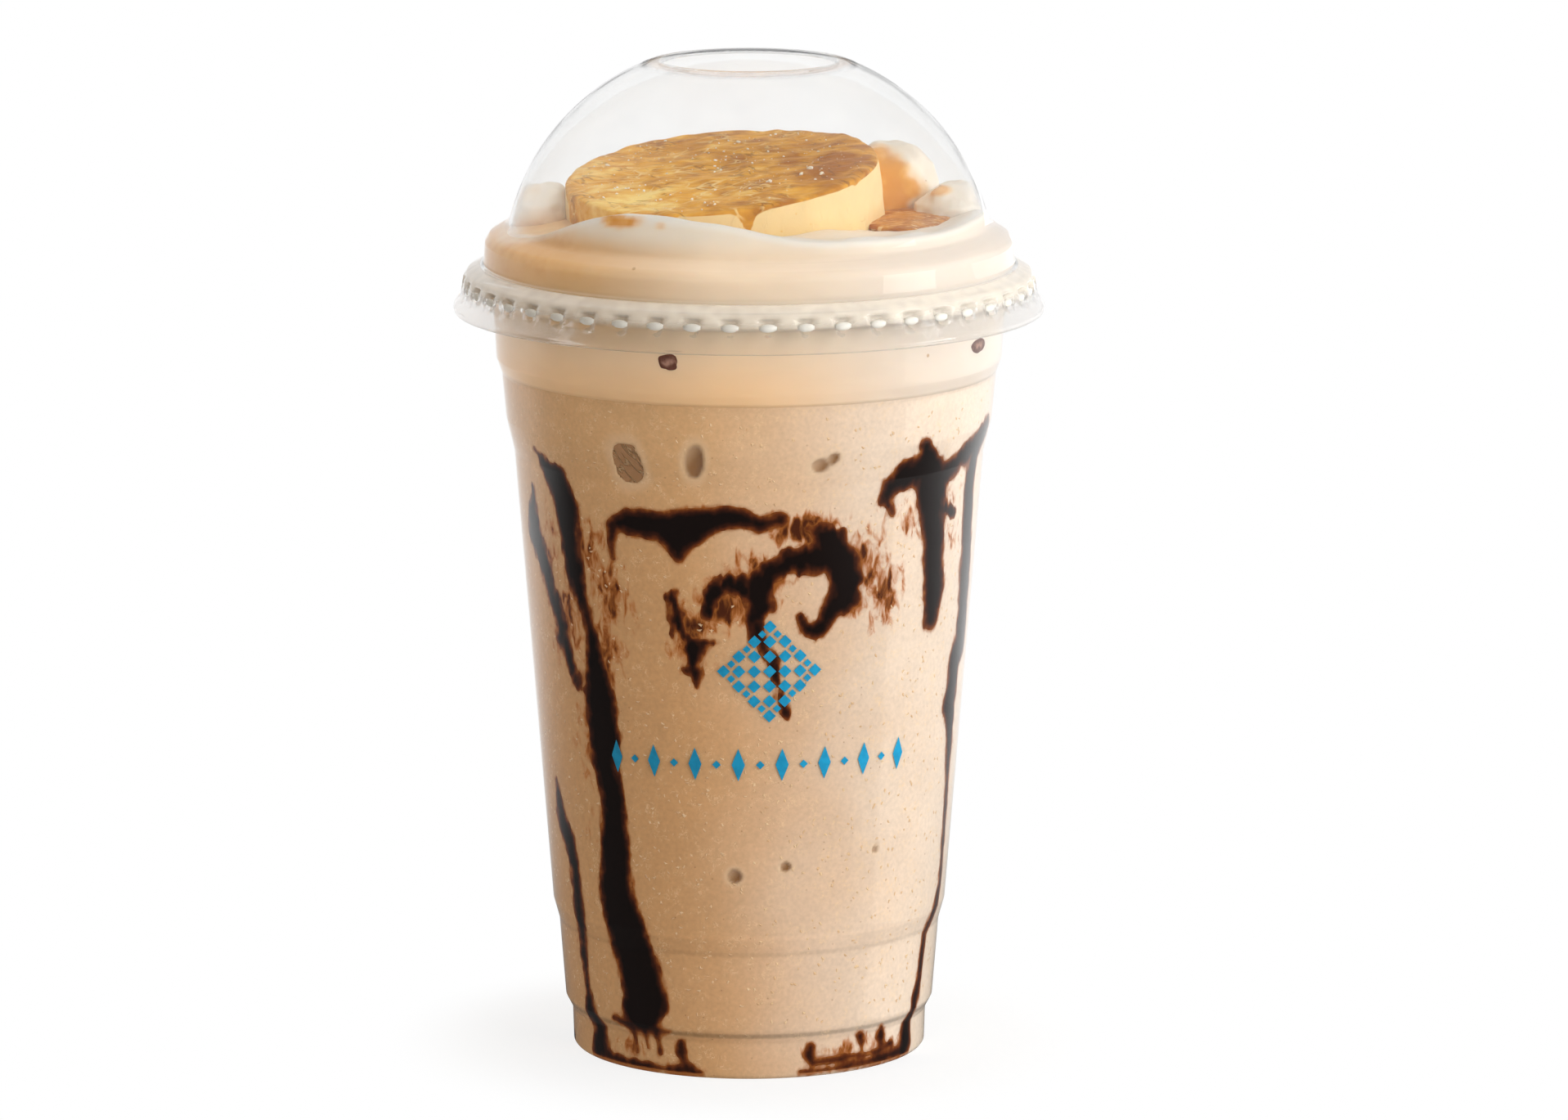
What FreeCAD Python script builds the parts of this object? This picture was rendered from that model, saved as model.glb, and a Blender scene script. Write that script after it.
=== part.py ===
"""A blended coffee drink in its clear plastic cup, with a domed lid: a parametric FreeCAD document.

The frame: +Z up, the origin at the middle of the foot, -Y the side with the highest cream crest.
All lengths are in millimetres and all angles in degrees.
"""
import FreeCAD, Part
import Sketcher

import math
import os
from typing import NamedTuple

from FreeCAD import Placement, Rotation, Vector

# Rings of the formed sheet, from the bottom up: name, outside radius, height.
CUP_RINGS = (
    ("punt_middle", 0.0, 1.8),
    ("punt_edge", 26.8, 1.8),
    ("foot_inner", 27.9, 0.0),
    ("foot_outer", 30.6, 0.0),
    ("foot_edge", 31.0, 0.5),
    ("foot_top", 31.2, 6.5),
    ("ledge", 32.4, 8.8),
    ("band_top", 33.5, 22.5),
    ("stacking_step", 34.55, 26.3),
    ("taper_top", 41.1, 106.4),
    ("grip_step", 42.5, 112.2),
    ("collar", 43.25, 120.2),
    ("collar_step", 44.2, 122.9),
    ("neck", 44.6, 130.0),
    ("rim_joint", 45.7, 136.0),
)
LID_RINGS = (
    ("lip_under", 51.5, 131.0),
    ("lip", 51.7, 131.8),
    ("skirt", 50.3, 134.2),
    ("flange_edge", 49.9, 136.9),
    ("flange_top", 49.2, 137.9),
    ("channel", 46.6, 139.3),
    ("shoulder_foot", 46.3, 139.7),
    ("shoulder_wall", 46.1, 143.0),
    ("shoulder_turn", 45.3, 144.3),
    ("shoulder_top", 43.4, 145.4),
    ("dome_foot", 41.94, 146.0),
    ("dome_top", 17.28, 174.56),
    ("hole_crest", 16.4, 174.8),
    ("hole_edge", 15.6, 174.2),
    ("hole_lip", 15.3, 172.2),
)
DOME_ARC = {"dome_foot": "dome_arc_radius"}

SIZES = {
    "wall": 0.5,
    "dome_arc_radius": 40.12,
    # The rolled rim of the cup, which sits in the lid's channel.
    "bead_ring_radius": 47.25,
    "bead_height": 136.45,
    "bead_radius": 1.65,
    # The drink, and the plug of cream above it.
    "drink_level": 121.0,
    "cream_base": 147.2,
    # The caramelised custard round, tilted to the front and to the left.
    "round_radius": 27.6,
    "round_thickness": 14.0,
    "round_edge": 1.4,
    "round_across": -3.6,
    "round_depth": 1.7,
    "round_bottom": 141.65,
    "round_lean_front": 7.1,
    "round_lean_left": 5.2,
}

# Swells of the cream's top: across, depth, rise, reach along and over the swell, turn of its long side.
CREAM_SWELLS = {
    "front_crest": (-20.5, -33.5, 5.2, 10.5, 4.6, -31.0),
    "front_roll": (19.0, -37.0, 1.9, 26.0, 5.0, 25.0),
    "right_roll": (40.0, -9.0, 1.8, 13.0, 5.0, 76.0),
    "left_hollow": (-42.0, -12.0, -2.2, 10.0, 7.0, -70.0),
    "back_left_swell": (-20.0, 32.0, 2.6, 12.0, 7.0, 32.0),
    "back_swell": (9.0, 36.0, 1.6, 11.0, 6.0, -14.0),
    "pool_hollow": (25.5, -2.0, -2.4, 9.0, 5.0, 80.0),
}
CREAM_GRID = 31

# Lumps of whipped cream on the head: across, depth, height of the middle, and the three half sizes.
WHIPPED_LUMPS = {
    "whipped_lump_back": (24.0, 15.5, 147.0, 9.6, 9.0, 10.8),
    "whipped_lump_right": (35.5, 5.5, 146.0, 6.6, 8.0, 6.4),
    "whipped_lump_left": (-36.5, 5.0, 146.0, 6.8, 9.5, 6.6),
}
LUMP_SIZES = ("across", "depth", "height", "half_width", "half_depth", "half_height")


def all_sizes():
    """Return every driving size of the model by its alias."""
    sizes = dict(SIZES)
    for name, radius, height in CUP_RINGS + LID_RINGS:
        sizes[f"{name}_radius"] = radius
        sizes[f"{name}_height"] = height
    for lump, values in WHIPPED_LUMPS.items():
        for size, value in zip(LUMP_SIZES, values):
            sizes[f"{lump}_{size}"] = value
    return sizes


def make_sheet(doc, sizes):
    """Write the sizes into a spreadsheet, one aliased cell each."""
    sheet = doc.addObject("Spreadsheet::Sheet", "Sizes")
    for row, (alias, value) in enumerate(sizes.items(), start=1):
        sheet.set(f"A{row}", alias)
        sheet.set(f"B{row}", str(value))
        sheet.setAlias(f"B{row}", alias)
    doc.recompute()
    return sheet


def bind(thing, **cells):
    """Bind properties of an object to expressions over the sheet's aliases."""
    for name, alias in cells.items():
        thing.setExpression(name, f"Sizes.{alias}")


class Corner(NamedTuple):
    """A corner of a half section: where it is, and the two expressions that hold it there."""

    radius: str
    height: str
    point: Vector


class Edge(NamedTuple):
    """An edge of a half section: its two corners, and its arc radius as an expression and a value."""

    start: Corner
    end: Corner
    arc: tuple | None = None

    def turned(self):
        """Return the same edge, drawn from its other end."""
        return Edge(self.end, self.start, self.arc)


def edge_normals(ring, following, arc_radius):
    """Return the outward directions of an outline's edge at its start and at its end."""
    chord = following - ring
    normal = Vector(chord.y, -chord.x, 0).normalize()
    if arc_radius is None:
        return normal, normal
    half = math.asin(chord.Length / 2 / arc_radius)
    return tuple(Rotation(Vector(0, 0, 1), math.degrees(turn)).multVec(normal) for turn in (-half, half))


def outline_edges(rings, arcs, inset):
    """Return the edges of the outline through rings, moved in by inset wall thicknesses."""
    points = [Vector(radius, height, 0) for _, radius, height in rings]
    names = [name for name, _, _ in rings]
    radii = [SIZES[arcs[name]] if name in arcs else None for name in names]
    normals = [edge_normals(*ends) for ends in zip(points, points[1:], radii)]
    before = [normals[0][0]] + [end for _, end in normals]
    after = [start for start, _ in normals] + [normals[-1][1]]
    corners = []
    for name, point, one, other in zip(names, points, before, after):
        shift = (one + other) * (inset / (1 + one.dot(other)))
        corners.append(Corner(f"Sizes.{name}_radius - {shift.x:.6f} * Sizes.wall",
                              f"Sizes.{name}_height - {shift.y:.6f} * Sizes.wall",
                              point - shift * SIZES["wall"]))
    bends = [radius and (f"Sizes.{arcs[name]} - {inset} * Sizes.wall", radius - inset * SIZES["wall"])
             for name, radius in zip(names, radii)]
    return [Edge(*parts) for parts in zip(corners, corners[1:], bends)]


def arc_between(start, end, radius):
    """Return the arc that runs anticlockwise from start to end."""
    chord = end - start
    inward = Vector(-chord.y, chord.x, 0).normalize()
    centre = (start + end) * 0.5 + inward * math.sqrt(radius ** 2 - (chord.Length / 2) ** 2)
    first = math.atan2(start.y - centre.y, start.x - centre.x)
    last = math.atan2(end.y - centre.y, end.x - centre.x)
    return Part.ArcOfCircle(Part.Circle(centre, Vector(0, 0, 1), radius), first, last)


def draw_edge(sketch, edge):
    """Draw an edge and return its number and the sketcher's numbers of its start and its end."""
    start, end = edge.start.point, edge.end.point
    if edge.arc is None:
        return sketch.addGeometry(Part.LineSegment(start, end)), 1, 2
    radius_text, radius = edge.arc
    anticlockwise = end.y > start.y
    ends = (start, end) if anticlockwise else (end, start)
    number = sketch.addGeometry(arc_between(*ends, radius))
    index = sketch.addConstraint(Sketcher.Constraint("Radius", number, radius))
    sketch.setExpression(f"Constraints[{index}]", radius_text)
    return (number, 1, 2) if anticlockwise else (number, 2, 1)


def hold(sketch, kind, number, end, text, value):
    """Hold one coordinate of a point at an expression's value."""
    index = sketch.addConstraint(Sketcher.Constraint(kind, -1, 1, number, end, value))
    sketch.setExpression(f"Constraints[{index}]", text)


def section_sketch(doc, name, edges):
    """Draw a closed half section in the XZ plane, every corner held by its expressions."""
    sketch = doc.addObject("Sketcher::SketchObject", name)
    sketch.Placement = Placement(Vector(), Rotation(Vector(1, 0, 0), 90))
    drawn = [draw_edge(sketch, edge) for edge in edges]
    for edge, (number, start, _), (last, _, end) in zip(edges, drawn, drawn[-1:] + drawn[:-1]):
        sketch.addConstraint(Sketcher.Constraint("Coincident", last, end, number, start))
        hold(sketch, "DistanceX", number, start, edge.start.radius, edge.start.point.x)
        hold(sketch, "DistanceY", number, start, edge.start.height, edge.start.point.y)
    return sketch


def revolve(doc, name, edges):
    """Turn a closed half section round the Z axis into a solid."""
    turned = doc.addObject("Part::Revolution", name)
    turned.Source = section_sketch(doc, f"{name}Section", edges)
    turned.Axis = Vector(0, 0, 1)
    turned.Base = Vector(0, 0, 0)
    turned.Angle = 360
    turned.Solid = True
    return turned


def formed_sheet(doc, name, rings, arcs):
    """Make a shell of sheet plastic, one wall thick, whose outside runs through the rings."""
    outside = outline_edges(rings, arcs, 0)
    inside = outline_edges(rings, arcs, 1)
    top = Edge(outside[-1].end, inside[-1].end)
    foot = Edge(inside[0].start, outside[0].start)
    return revolve(doc, name, outside + [top] + [edge.turned() for edge in reversed(inside)] + [foot])


def contents_room(doc):
    """Make the room that the contents fill: inside the cup's wall, the lid's shoulder and its dome."""
    names = [name for name, _, _ in LID_RINGS]
    upper = LID_RINGS[names.index("shoulder_foot"):names.index("dome_top") + 1]
    inside = outline_edges(CUP_RINGS + upper, DOME_ARC, 1)
    first, last = inside[0].start, inside[-1].end
    top = Corner("0 * Sizes.wall", last.height, Vector(0, last.point.y, 0))
    return revolve(doc, "Room", inside + [Edge(last, top), Edge(top, first)])


def boolean(doc, kind, name, base, tool):
    """Return a Part::Cut, Part::Fuse or Part::Common of two objects."""
    made = doc.addObject(f"Part::{kind}", name)
    made.Base = base
    made.Tool = tool
    return made


def make_cup(doc):
    """Make the cup: the stepped shell with a recessed base, and its rolled rim."""
    shell = formed_sheet(doc, "CupShell", CUP_RINGS, {})
    bead = doc.addObject("Part::Torus", "CupBead")
    bind(bead, Radius1="bead_ring_radius", Radius2="bead_radius")
    bead.setExpression("Placement.Base.z", "Sizes.bead_height")
    return boolean(doc, "Fuse", "Cup", shell, bead)


def make_lid(doc):
    """Make the domed lid: skirt, channel for the rim, shoulder, dome and the turned-in hole."""
    return formed_sheet(doc, "DomeLid", LID_RINGS, DOME_ARC)


def make_drink(doc, room):
    """Fill the cup with the drink up to its level."""
    below = doc.addObject("Part::Cylinder", "BelowLevel")
    bind(below, Radius="lip_radius", Height="drink_level")
    return boolean(doc, "Common", "Drink", room, below)


def cream_height(across, depth):
    """Return the height of the cream's top at a place."""
    height = SIZES["cream_base"]
    for middle_x, middle_y, rise, along, over, turn in CREAM_SWELLS.values():
        cosine, sine = math.cos(math.radians(turn)), math.sin(math.radians(turn))
        from_x, from_y = across - middle_x, depth - middle_y
        u = (from_x * cosine + from_y * sine) / along
        v = (from_y * cosine - from_x * sine) / over
        height += rise * math.exp(-0.5 * (u * u + v * v))
    return height


def make_cream_block(doc, sizes):
    """Make the block under the cream's rolling top, down to the drink's level."""
    reach = sizes["lip_radius"]
    steps = [reach * (2 * step / (CREAM_GRID - 1) - 1) for step in range(CREAM_GRID)]
    top = Part.BSplineSurface()
    top.interpolate([[Vector(x, y, cream_height(x, y)) for y in steps] for x in steps])
    under_top = top.toShape().extrude(Vector(0, 0, -sizes["cream_base"]))
    below = Part.makeCylinder(sizes["lip_radius"] * 2, sizes["drink_level"])
    block = doc.addObject("Part::Feature", "CreamBlock")
    block.Shape = under_top.cut(below)
    block.Placement = Placement()
    return block


def make_cream(doc, sizes, room, custard_round):
    """Make the cream head: from the drink up to the rolling top, inside the cup and lid, round the custard."""
    heap = boolean(doc, "Common", "CreamHeap", room, make_cream_block(doc, sizes))
    return boolean(doc, "Cut", "Cream", heap, custard_round)


def make_round(doc):
    """Make the custard round: a padded circle with soft edges, tilted to the front left."""
    body = doc.addObject("PartDesign::Body", "Round")
    sketch = body.newObject("Sketcher::SketchObject", "RoundCircle")
    plane = next(item for item in body.Origin.OriginFeatures if item.Role == "XY_Plane")
    sketch.AttachmentSupport = (plane, [""])
    sketch.MapMode = "FlatFace"
    sketch.addGeometry(Part.Circle(Vector(), Vector(0, 0, 1), SIZES["round_radius"]))
    sketch.addConstraint(Sketcher.Constraint("Coincident", 0, 3, -1, 1))
    index = sketch.addConstraint(Sketcher.Constraint("Radius", 0, SIZES["round_radius"]))
    sketch.setExpression(f"Constraints[{index}]", "Sizes.round_radius")
    pad = body.newObject("PartDesign::Pad", "RoundPad")
    pad.Profile = sketch
    bind(pad, Length="round_thickness")
    doc.recompute()
    soft = body.newObject("PartDesign::Fillet", "RoundEdges")
    soft.Base = (pad, [f"Edge{n + 1}" for n, edge in enumerate(pad.Shape.Edges) if edge.isClosed()])
    bind(soft, Radius="round_edge")
    body.Tip = soft
    lean = Rotation(Vector(1, 0, 0), SIZES["round_lean_front"])
    lean = lean.multiply(Rotation(Vector(0, 1, 0), -SIZES["round_lean_left"]))
    middle = Vector(SIZES["round_across"], SIZES["round_depth"], SIZES["round_bottom"])
    body.Placement = Placement(middle, lean)
    for letter, alias in (("x", "round_across"), ("y", "round_depth"), ("z", "round_bottom")):
        body.setExpression(f"Placement.Base.{letter}", f"Sizes.{alias}")
    return body


def make_lump(doc, name, room, cream, custard_round):
    """Make one lump of whipped cream, lying on the head inside the dome."""
    egg = doc.addObject("Part::Ellipsoid", f"{name}_egg")
    bind(egg, Radius1=f"{name}_half_height", Radius2=f"{name}_half_width", Radius3=f"{name}_half_depth")
    for letter, size in (("x", "across"), ("y", "depth"), ("z", "height")):
        egg.setExpression(f"Placement.Base.{letter}", f"Sizes.{name}_{size}")
    inside = boolean(doc, "Common", f"{name}_inside", room, egg)
    clear = boolean(doc, "Cut", f"{name}_clear", inside, custard_round)
    return boolean(doc, "Cut", f"{name}_solid", clear, cream)


def check_document(doc, subparts):
    """Raise an error if any object failed or any sub-part isn't a valid solid."""
    failed = [thing.Name for thing in doc.Objects if {"Invalid", "Error"} & set(thing.State)]
    if failed:
        raise RuntimeError(f"objects that failed: {failed}")
    for subpart in subparts:
        shape = subpart.Shape
        if shape.isNull() or not shape.isValid() or len(shape.Solids) != 1:
            raise RuntimeError(f"{subpart.Label} isn't one valid solid: {len(shape.Solids)} solids")


def report(subparts):
    """Print each sub-part's box and volume."""
    for subpart in subparts:
        box = subpart.Shape.BoundBox
        print(f"{subpart.Label:20s} x {box.XMin:7.2f} {box.XMax:7.2f}  y {box.YMin:7.2f} {box.YMax:7.2f}"
              f"  z {box.ZMin:7.2f} {box.ZMax:7.2f}  {subpart.Shape.Volume / 1000:8.3f} ml")


def main():
    """Build the document, check it and write each sub-part's solid."""
    doc = FreeCAD.newDocument("frappe")
    sizes = all_sizes()
    make_sheet(doc, sizes)
    room = contents_room(doc)
    nodes = {"cup": make_cup(doc), "dome_lid": make_lid(doc), "custard_round": make_round(doc)}
    nodes["blended_drink"] = make_drink(doc, room)
    nodes["cream_head"] = make_cream(doc, sizes, room, nodes["custard_round"])
    for lump in WHIPPED_LUMPS:
        nodes[lump] = make_lump(doc, lump, room, nodes["cream_head"], nodes["custard_round"])
    doc.recompute()
    for label, node in nodes.items():
        node.Label = label
    check_document(doc, nodes.values())
    report(nodes.values())
    os.makedirs("parts", exist_ok=True)
    for label, node in nodes.items():
        node.Shape.exportStep(f"parts/{label}.step")


main()
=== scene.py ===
"""Blended coffee drink in a clear cup, with cream, a baked custard round and sauce under a domed lid."""
import logging
import math
from dataclasses import dataclass, field
from enum import Enum
from typing import NamedTuple

import bpy
import numpy as np
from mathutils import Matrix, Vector


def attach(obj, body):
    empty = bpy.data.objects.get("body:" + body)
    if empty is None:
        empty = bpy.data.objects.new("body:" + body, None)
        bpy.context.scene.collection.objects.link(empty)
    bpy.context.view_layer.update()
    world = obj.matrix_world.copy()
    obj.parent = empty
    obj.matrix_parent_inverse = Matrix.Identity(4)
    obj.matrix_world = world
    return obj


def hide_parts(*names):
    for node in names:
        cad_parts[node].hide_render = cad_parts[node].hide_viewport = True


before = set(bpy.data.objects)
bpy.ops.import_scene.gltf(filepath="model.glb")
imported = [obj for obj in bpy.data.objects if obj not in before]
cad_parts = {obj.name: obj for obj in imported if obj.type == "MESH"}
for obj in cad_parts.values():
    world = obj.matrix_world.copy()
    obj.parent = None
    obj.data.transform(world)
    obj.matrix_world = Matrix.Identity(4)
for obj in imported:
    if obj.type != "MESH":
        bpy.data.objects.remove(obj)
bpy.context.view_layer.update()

LOG = logging.getLogger("blended_drink")
MM = 0.001
BODY = "root"

Triple = tuple[float, float, float]
Colour = Triple
Line = list[tuple[float, float]]
Array = np.ndarray
Material = bpy.types.Material
Mesh = bpy.types.Mesh
Socket = bpy.types.NodeSocket


class Slot(Enum):
    """The record's material slots."""

    CLEAR = "clear_sheet"
    DRINK = "blended_coffee"
    CREAM = "cream"
    CUSTARD = "custard"
    CARAMEL = "caramel"
    SYRUP = "chocolate_syrup"
    ICE = "ice"
    CHIP = "chip"
    SUGAR = "sugar"
    PRINT = "print"


# ---------------------------------------------------------------- numbers on arrays


def smooth_step(low: float, high: float, values: Array) -> Array:
    """Eases from 0 to 1 between two values."""
    share = np.clip((values - low) / (high - low), 0.0, 1.0)
    return share * share * (3.0 - 2.0 * share)


@dataclass(frozen=True)
class Unevenness:
    """Smooth seeded noise in space, for shapes that were never quite regular."""

    size: float
    seed: int

    def corner(self, i: Array, j: Array, k: Array) -> Array:
        """Gives a fixed value to each corner of a lattice.

        Args:
            i: Corner numbers along X.
            j: Corner numbers along Y.
            k: Corner numbers along Z.

        Returns:
            Values from -1 to 1.
        """
        mixed = (i * 73856093) ^ (j * 19349663) ^ (k * 83492791) ^ (self.seed * 265443)
        mixed = (mixed ^ (mixed >> 13)) * 1274126177
        mixed = mixed ^ (mixed >> 16)
        return (mixed & 0xFFFF) / 32767.5 - 1.0

    def at(self, points: Array) -> Array:
        """Reads the noise.

        Args:
            points: Places in millimetres, one a row.

        Returns:
            One value from -1 to 1 for each place.
        """
        scaled = points / self.size + 1000.0
        cell = np.floor(scaled).astype(np.int64)
        part = scaled - cell
        ease = part * part * (3.0 - 2.0 * part)
        total = np.zeros(len(points))
        for step in range(8):
            bits = np.array([step & 1, step >> 1 & 1, step >> 2 & 1])
            weight = np.prod(np.where(bits, ease, 1.0 - ease), axis=1)
            spot = cell + bits
            total += weight * self.corner(spot[:, 0], spot[:, 1], spot[:, 2])
        return total


def around(azimuth: Array, radius: Array, height: Array) -> Array:
    """Turns places round the cup into X, Y, Z."""
    turn = np.radians(azimuth)
    return np.stack([radius * np.sin(turn), -radius * np.cos(turn), height + 0.0 * turn], axis=-1)


# ---------------------------------------------------------------- outlines


def inset(line: Line, wall: float) -> Line:
    """Moves a line to its left by the same distance all along, with mitred corners.

    Args:
        line: Corners as (radius, height).
        wall: The distance.

    Returns:
        The moved corners.
    """
    points = np.array(line, float)
    runs = np.diff(points, axis=0)
    runs /= np.linalg.norm(runs, axis=1)[:, None]
    left = np.stack([-runs[:, 1], runs[:, 0]], axis=1)
    before = np.vstack([left[:1], left])
    after = np.vstack([left, left[-1:]])
    middle = before + after
    middle /= np.sum(middle * before, axis=1)[:, None]
    return [tuple(p) for p in points + middle * wall]


def rounded(line: Line, radius: float, steps: int = 4) -> Line:
    """Rounds a line's corners.

    Args:
        line: Corners as (radius, height).
        radius: The rounding, as far as the runs beside a corner allow.
        steps: Pieces in each rounding.

    Returns:
        The rounded line.
    """
    points = [np.array(p, float) for p in line]
    made = [points[0]]
    for last, here, then in zip(points, points[1:], points[2:]):
        back, on = last - here, then - here
        room = 0.45 * min(np.linalg.norm(back), np.linalg.norm(on))
        back, on = back / np.linalg.norm(back), on / np.linalg.norm(on)
        half_turn = (math.pi - math.acos(float(np.clip(back @ on, -1.0, 1.0)))) / 2.0
        reach = min(radius * math.tan(half_turn), room)
        start, stop = here + back * reach, here + on * reach
        for step in range(steps + 1):
            t = step / steps
            made.append(start * (1 - t) ** 2 + here * 2 * t * (1 - t) + stop * t * t)
    made.append(points[-1])
    return [tuple(p) for p in made]


def divided(line: Line, longest: float) -> Line:
    """Divides a line's long runs.

    Args:
        line: Points as (radius, height).
        longest: The longest run that may stay.

    Returns:
        The divided line.
    """
    made = [line[0]]
    for (r0, z0), (r1, z1) in zip(line, line[1:]):
        parts = max(1, math.ceil(math.hypot(r1 - r0, z1 - z0) / longest))
        made += [(r0 + (r1 - r0) * n / parts, z0 + (z1 - z0) * n / parts) for n in range(1, parts + 1)]
    return made


# ---------------------------------------------------------------- meshes


@dataclass
class Surface:
    """Points in millimetres with the faces between them and values carried at the points."""

    points: Array
    faces: list[tuple[int, ...]]
    values: dict[str, Array] = field(default_factory=dict)

    def mesh(self, name: str, material: Material | None, sharp: float = 180.0) -> Mesh:
        """Makes a Blender mesh.

        Args:
            name: The mesh's name.
            material: Its finish, if it has one yet.
            sharp: Edges that turn more than this many degrees stay sharp.

        Returns:
            The mesh, in metres.
        """
        mesh = bpy.data.meshes.new(name)
        mesh.from_pydata((self.points * MM).tolist(), [], self.faces)
        for key, numbers in self.values.items():
            layer = mesh.attributes.new(key, "FLOAT", "POINT")
            layer.data.foreach_set("value", np.ascontiguousarray(numbers, np.float32))
        mesh.shade_smooth()
        if sharp < 180.0:
            mesh.set_sharp_from_angle(angle=math.radians(sharp))
        if material is not None:
            mesh.materials.append(material)
        mesh.validate()
        return mesh


def turned(line: Line, azimuths: Array, ring: bool = False) -> Surface:
    """Turns a line round the cup's axis; ends on the axis close with a fan.

    Args:
        line: Points as (radius, height), with the outside on their right.
        azimuths: Degrees of each column, in order.
        ring: True where the line's end joins its start.

    Returns:
        The turned surface.
    """
    columns = len(azimuths)
    points: list[Array] = []
    rows: list[list[int]] = []
    count = 0
    for radius, height in line:
        if radius < 1e-6:
            points.append(np.array([[0.0, 0.0, height]]))
            rows.append([count] * columns)
            count += 1
        else:
            points.append(around(azimuths, np.full(columns, radius), np.full(columns, height)))
            rows.append(list(range(count, count + columns)))
            count += columns
    if ring:
        rows.append(rows[0])
    return Surface(np.vstack(points), woven(rows))


def woven(rows: list[list[int]]) -> list[tuple[int, ...]]:
    """Joins rings of points with faces; a ring of one repeated point makes a fan.

    Args:
        rows: The point numbers of each ring.

    Returns:
        The faces.
    """
    faces: list[tuple[int, ...]] = []
    for low, high in zip(rows, rows[1:]):
        for a, b, c, d in zip(low, low[1:] + low[:1], high[1:] + high[:1], high):
            corners = (a, b, c, d)
            kept = tuple(p for n, p in enumerate(corners) if p != corners[n - 1])
            if len(kept) > 2:
                faces.append(kept)
    return faces


def unit_ball(rings: int, columns: int) -> Surface:
    """Makes a ball of radius 1 from a number of rows and the number of points in a row."""
    polar = np.radians(np.linspace(-90.0, 90.0, rings))[1:-1]
    line = [(0.0, -1.0), *((math.cos(a), math.sin(a)) for a in polar), (0.0, 1.0)]
    return turned(line, np.linspace(-180.0, 180.0, columns, endpoint=False))


class CutGrid(NamedTuple):
    """Where a field is above nought: points in grid units, faces, and which points lie on the edge."""

    spots: Array
    faces: list[tuple[int, ...]]
    edge: Array

    def read(self, values: Array, up: Array, across: Array) -> tuple[Array, Array, Array]:
        """Reads the grid at the points.

        Args:
            values: The field.
            up: The place of each row.
            across: The place of each column.

        Returns:
            The points' places up and across, and the field there, which is nought on the edge.
        """
        rows, columns = self.spots.T
        inside = np.where(self.edge, 0.0, values[rows.astype(int), columns.astype(int)])
        return np.interp(rows, range(len(up)), up), np.interp(columns, range(len(across)), across), inside


def cut_grid(field_values: Array) -> CutGrid:
    """Follows the nought line of a field across a grid.

    Args:
        field_values: The field, rows by columns.

    Returns:
        The part above nought.
    """
    inside = field_values > 0.0
    busy = inside[:-1, :-1] | inside[1:, :-1] | inside[:-1, 1:] | inside[1:, 1:]
    numbers: dict[tuple[int, ...], int] = {}
    spots: list[tuple[float, float]] = []
    edge: list[bool] = []
    faces: list[tuple[int, ...]] = []

    def number(key: tuple[int, ...], spot: tuple[float, float], on_edge: bool) -> int:
        """Gives each place one number, the first time it is met."""
        if key not in numbers:
            numbers[key] = len(spots)
            spots.append(spot)
            edge.append(on_edge)
        return numbers[key]

    for row, column in zip(*np.nonzero(busy)):
        corners = [(row, column), (row, column + 1), (row + 1, column + 1), (row + 1, column)]
        loop = []
        for here, then in zip(corners, corners[1:] + corners[:1]):
            if inside[here]:
                loop.append(number(here, (float(here[0]), float(here[1])), False))
            if inside[here] != inside[then]:
                low, high = min(here, then), max(here, then)
                share = field_values[low] / (field_values[low] - field_values[high])
                spot = (low[0] + (high[0] - low[0]) * share, low[1] + (high[1] - low[1]) * share)
                loop.append(number((*low, *high), spot, True))
        if len(loop) > 2:
            faces.append(tuple(loop))
    return CutGrid(np.array(spots).reshape(-1, 2), faces, np.array(edge, bool))


def closed_film(cut: CutGrid, front: Array, back: Array, values: dict[str, Array]) -> Surface:
    """Makes a closed film from a cut grid: a front and a back that meet along its edge.

    Args:
        cut: The cut grid.
        front: The places of its points on the front.
        back: The places of its points on the back.
        values: Values carried at its points.

    Returns:
        The film.
    """
    count = len(cut.spots)
    behind = np.where(cut.edge, np.arange(count), np.cumsum(~cut.edge) - 1 + count)
    points = np.vstack([front, back[~cut.edge]])
    faces = list(cut.faces) + [tuple(int(behind[p]) for p in reversed(face)) for face in cut.faces]
    carried = {key: np.concatenate([v, v[~cut.edge]]) for key, v in values.items()}
    return Surface(points, faces, carried)


def place_piece(mesh: Mesh, nodes: tuple[str, ...] = ()) -> None:
    """Puts a finished mesh on the drink's body under the mesh's own name, and reports it.

    Args:
        mesh: The mesh, with its place in its points.
        nodes: The CAD nodes that it stands for.
    """
    piece = bpy.data.objects.new(mesh.name, mesh)
    bpy.context.scene.collection.objects.link(piece)
    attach(piece, BODY)
    if nodes:
        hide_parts(*nodes)
    triangles = sum(len(face.vertices) - 2 for face in mesh.polygons)
    LOG.info("%s: %d triangles, stands for %s", mesh.name, triangles, ", ".join(nodes) or "nothing")


# ---------------------------------------------------------------- node sheets


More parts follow.
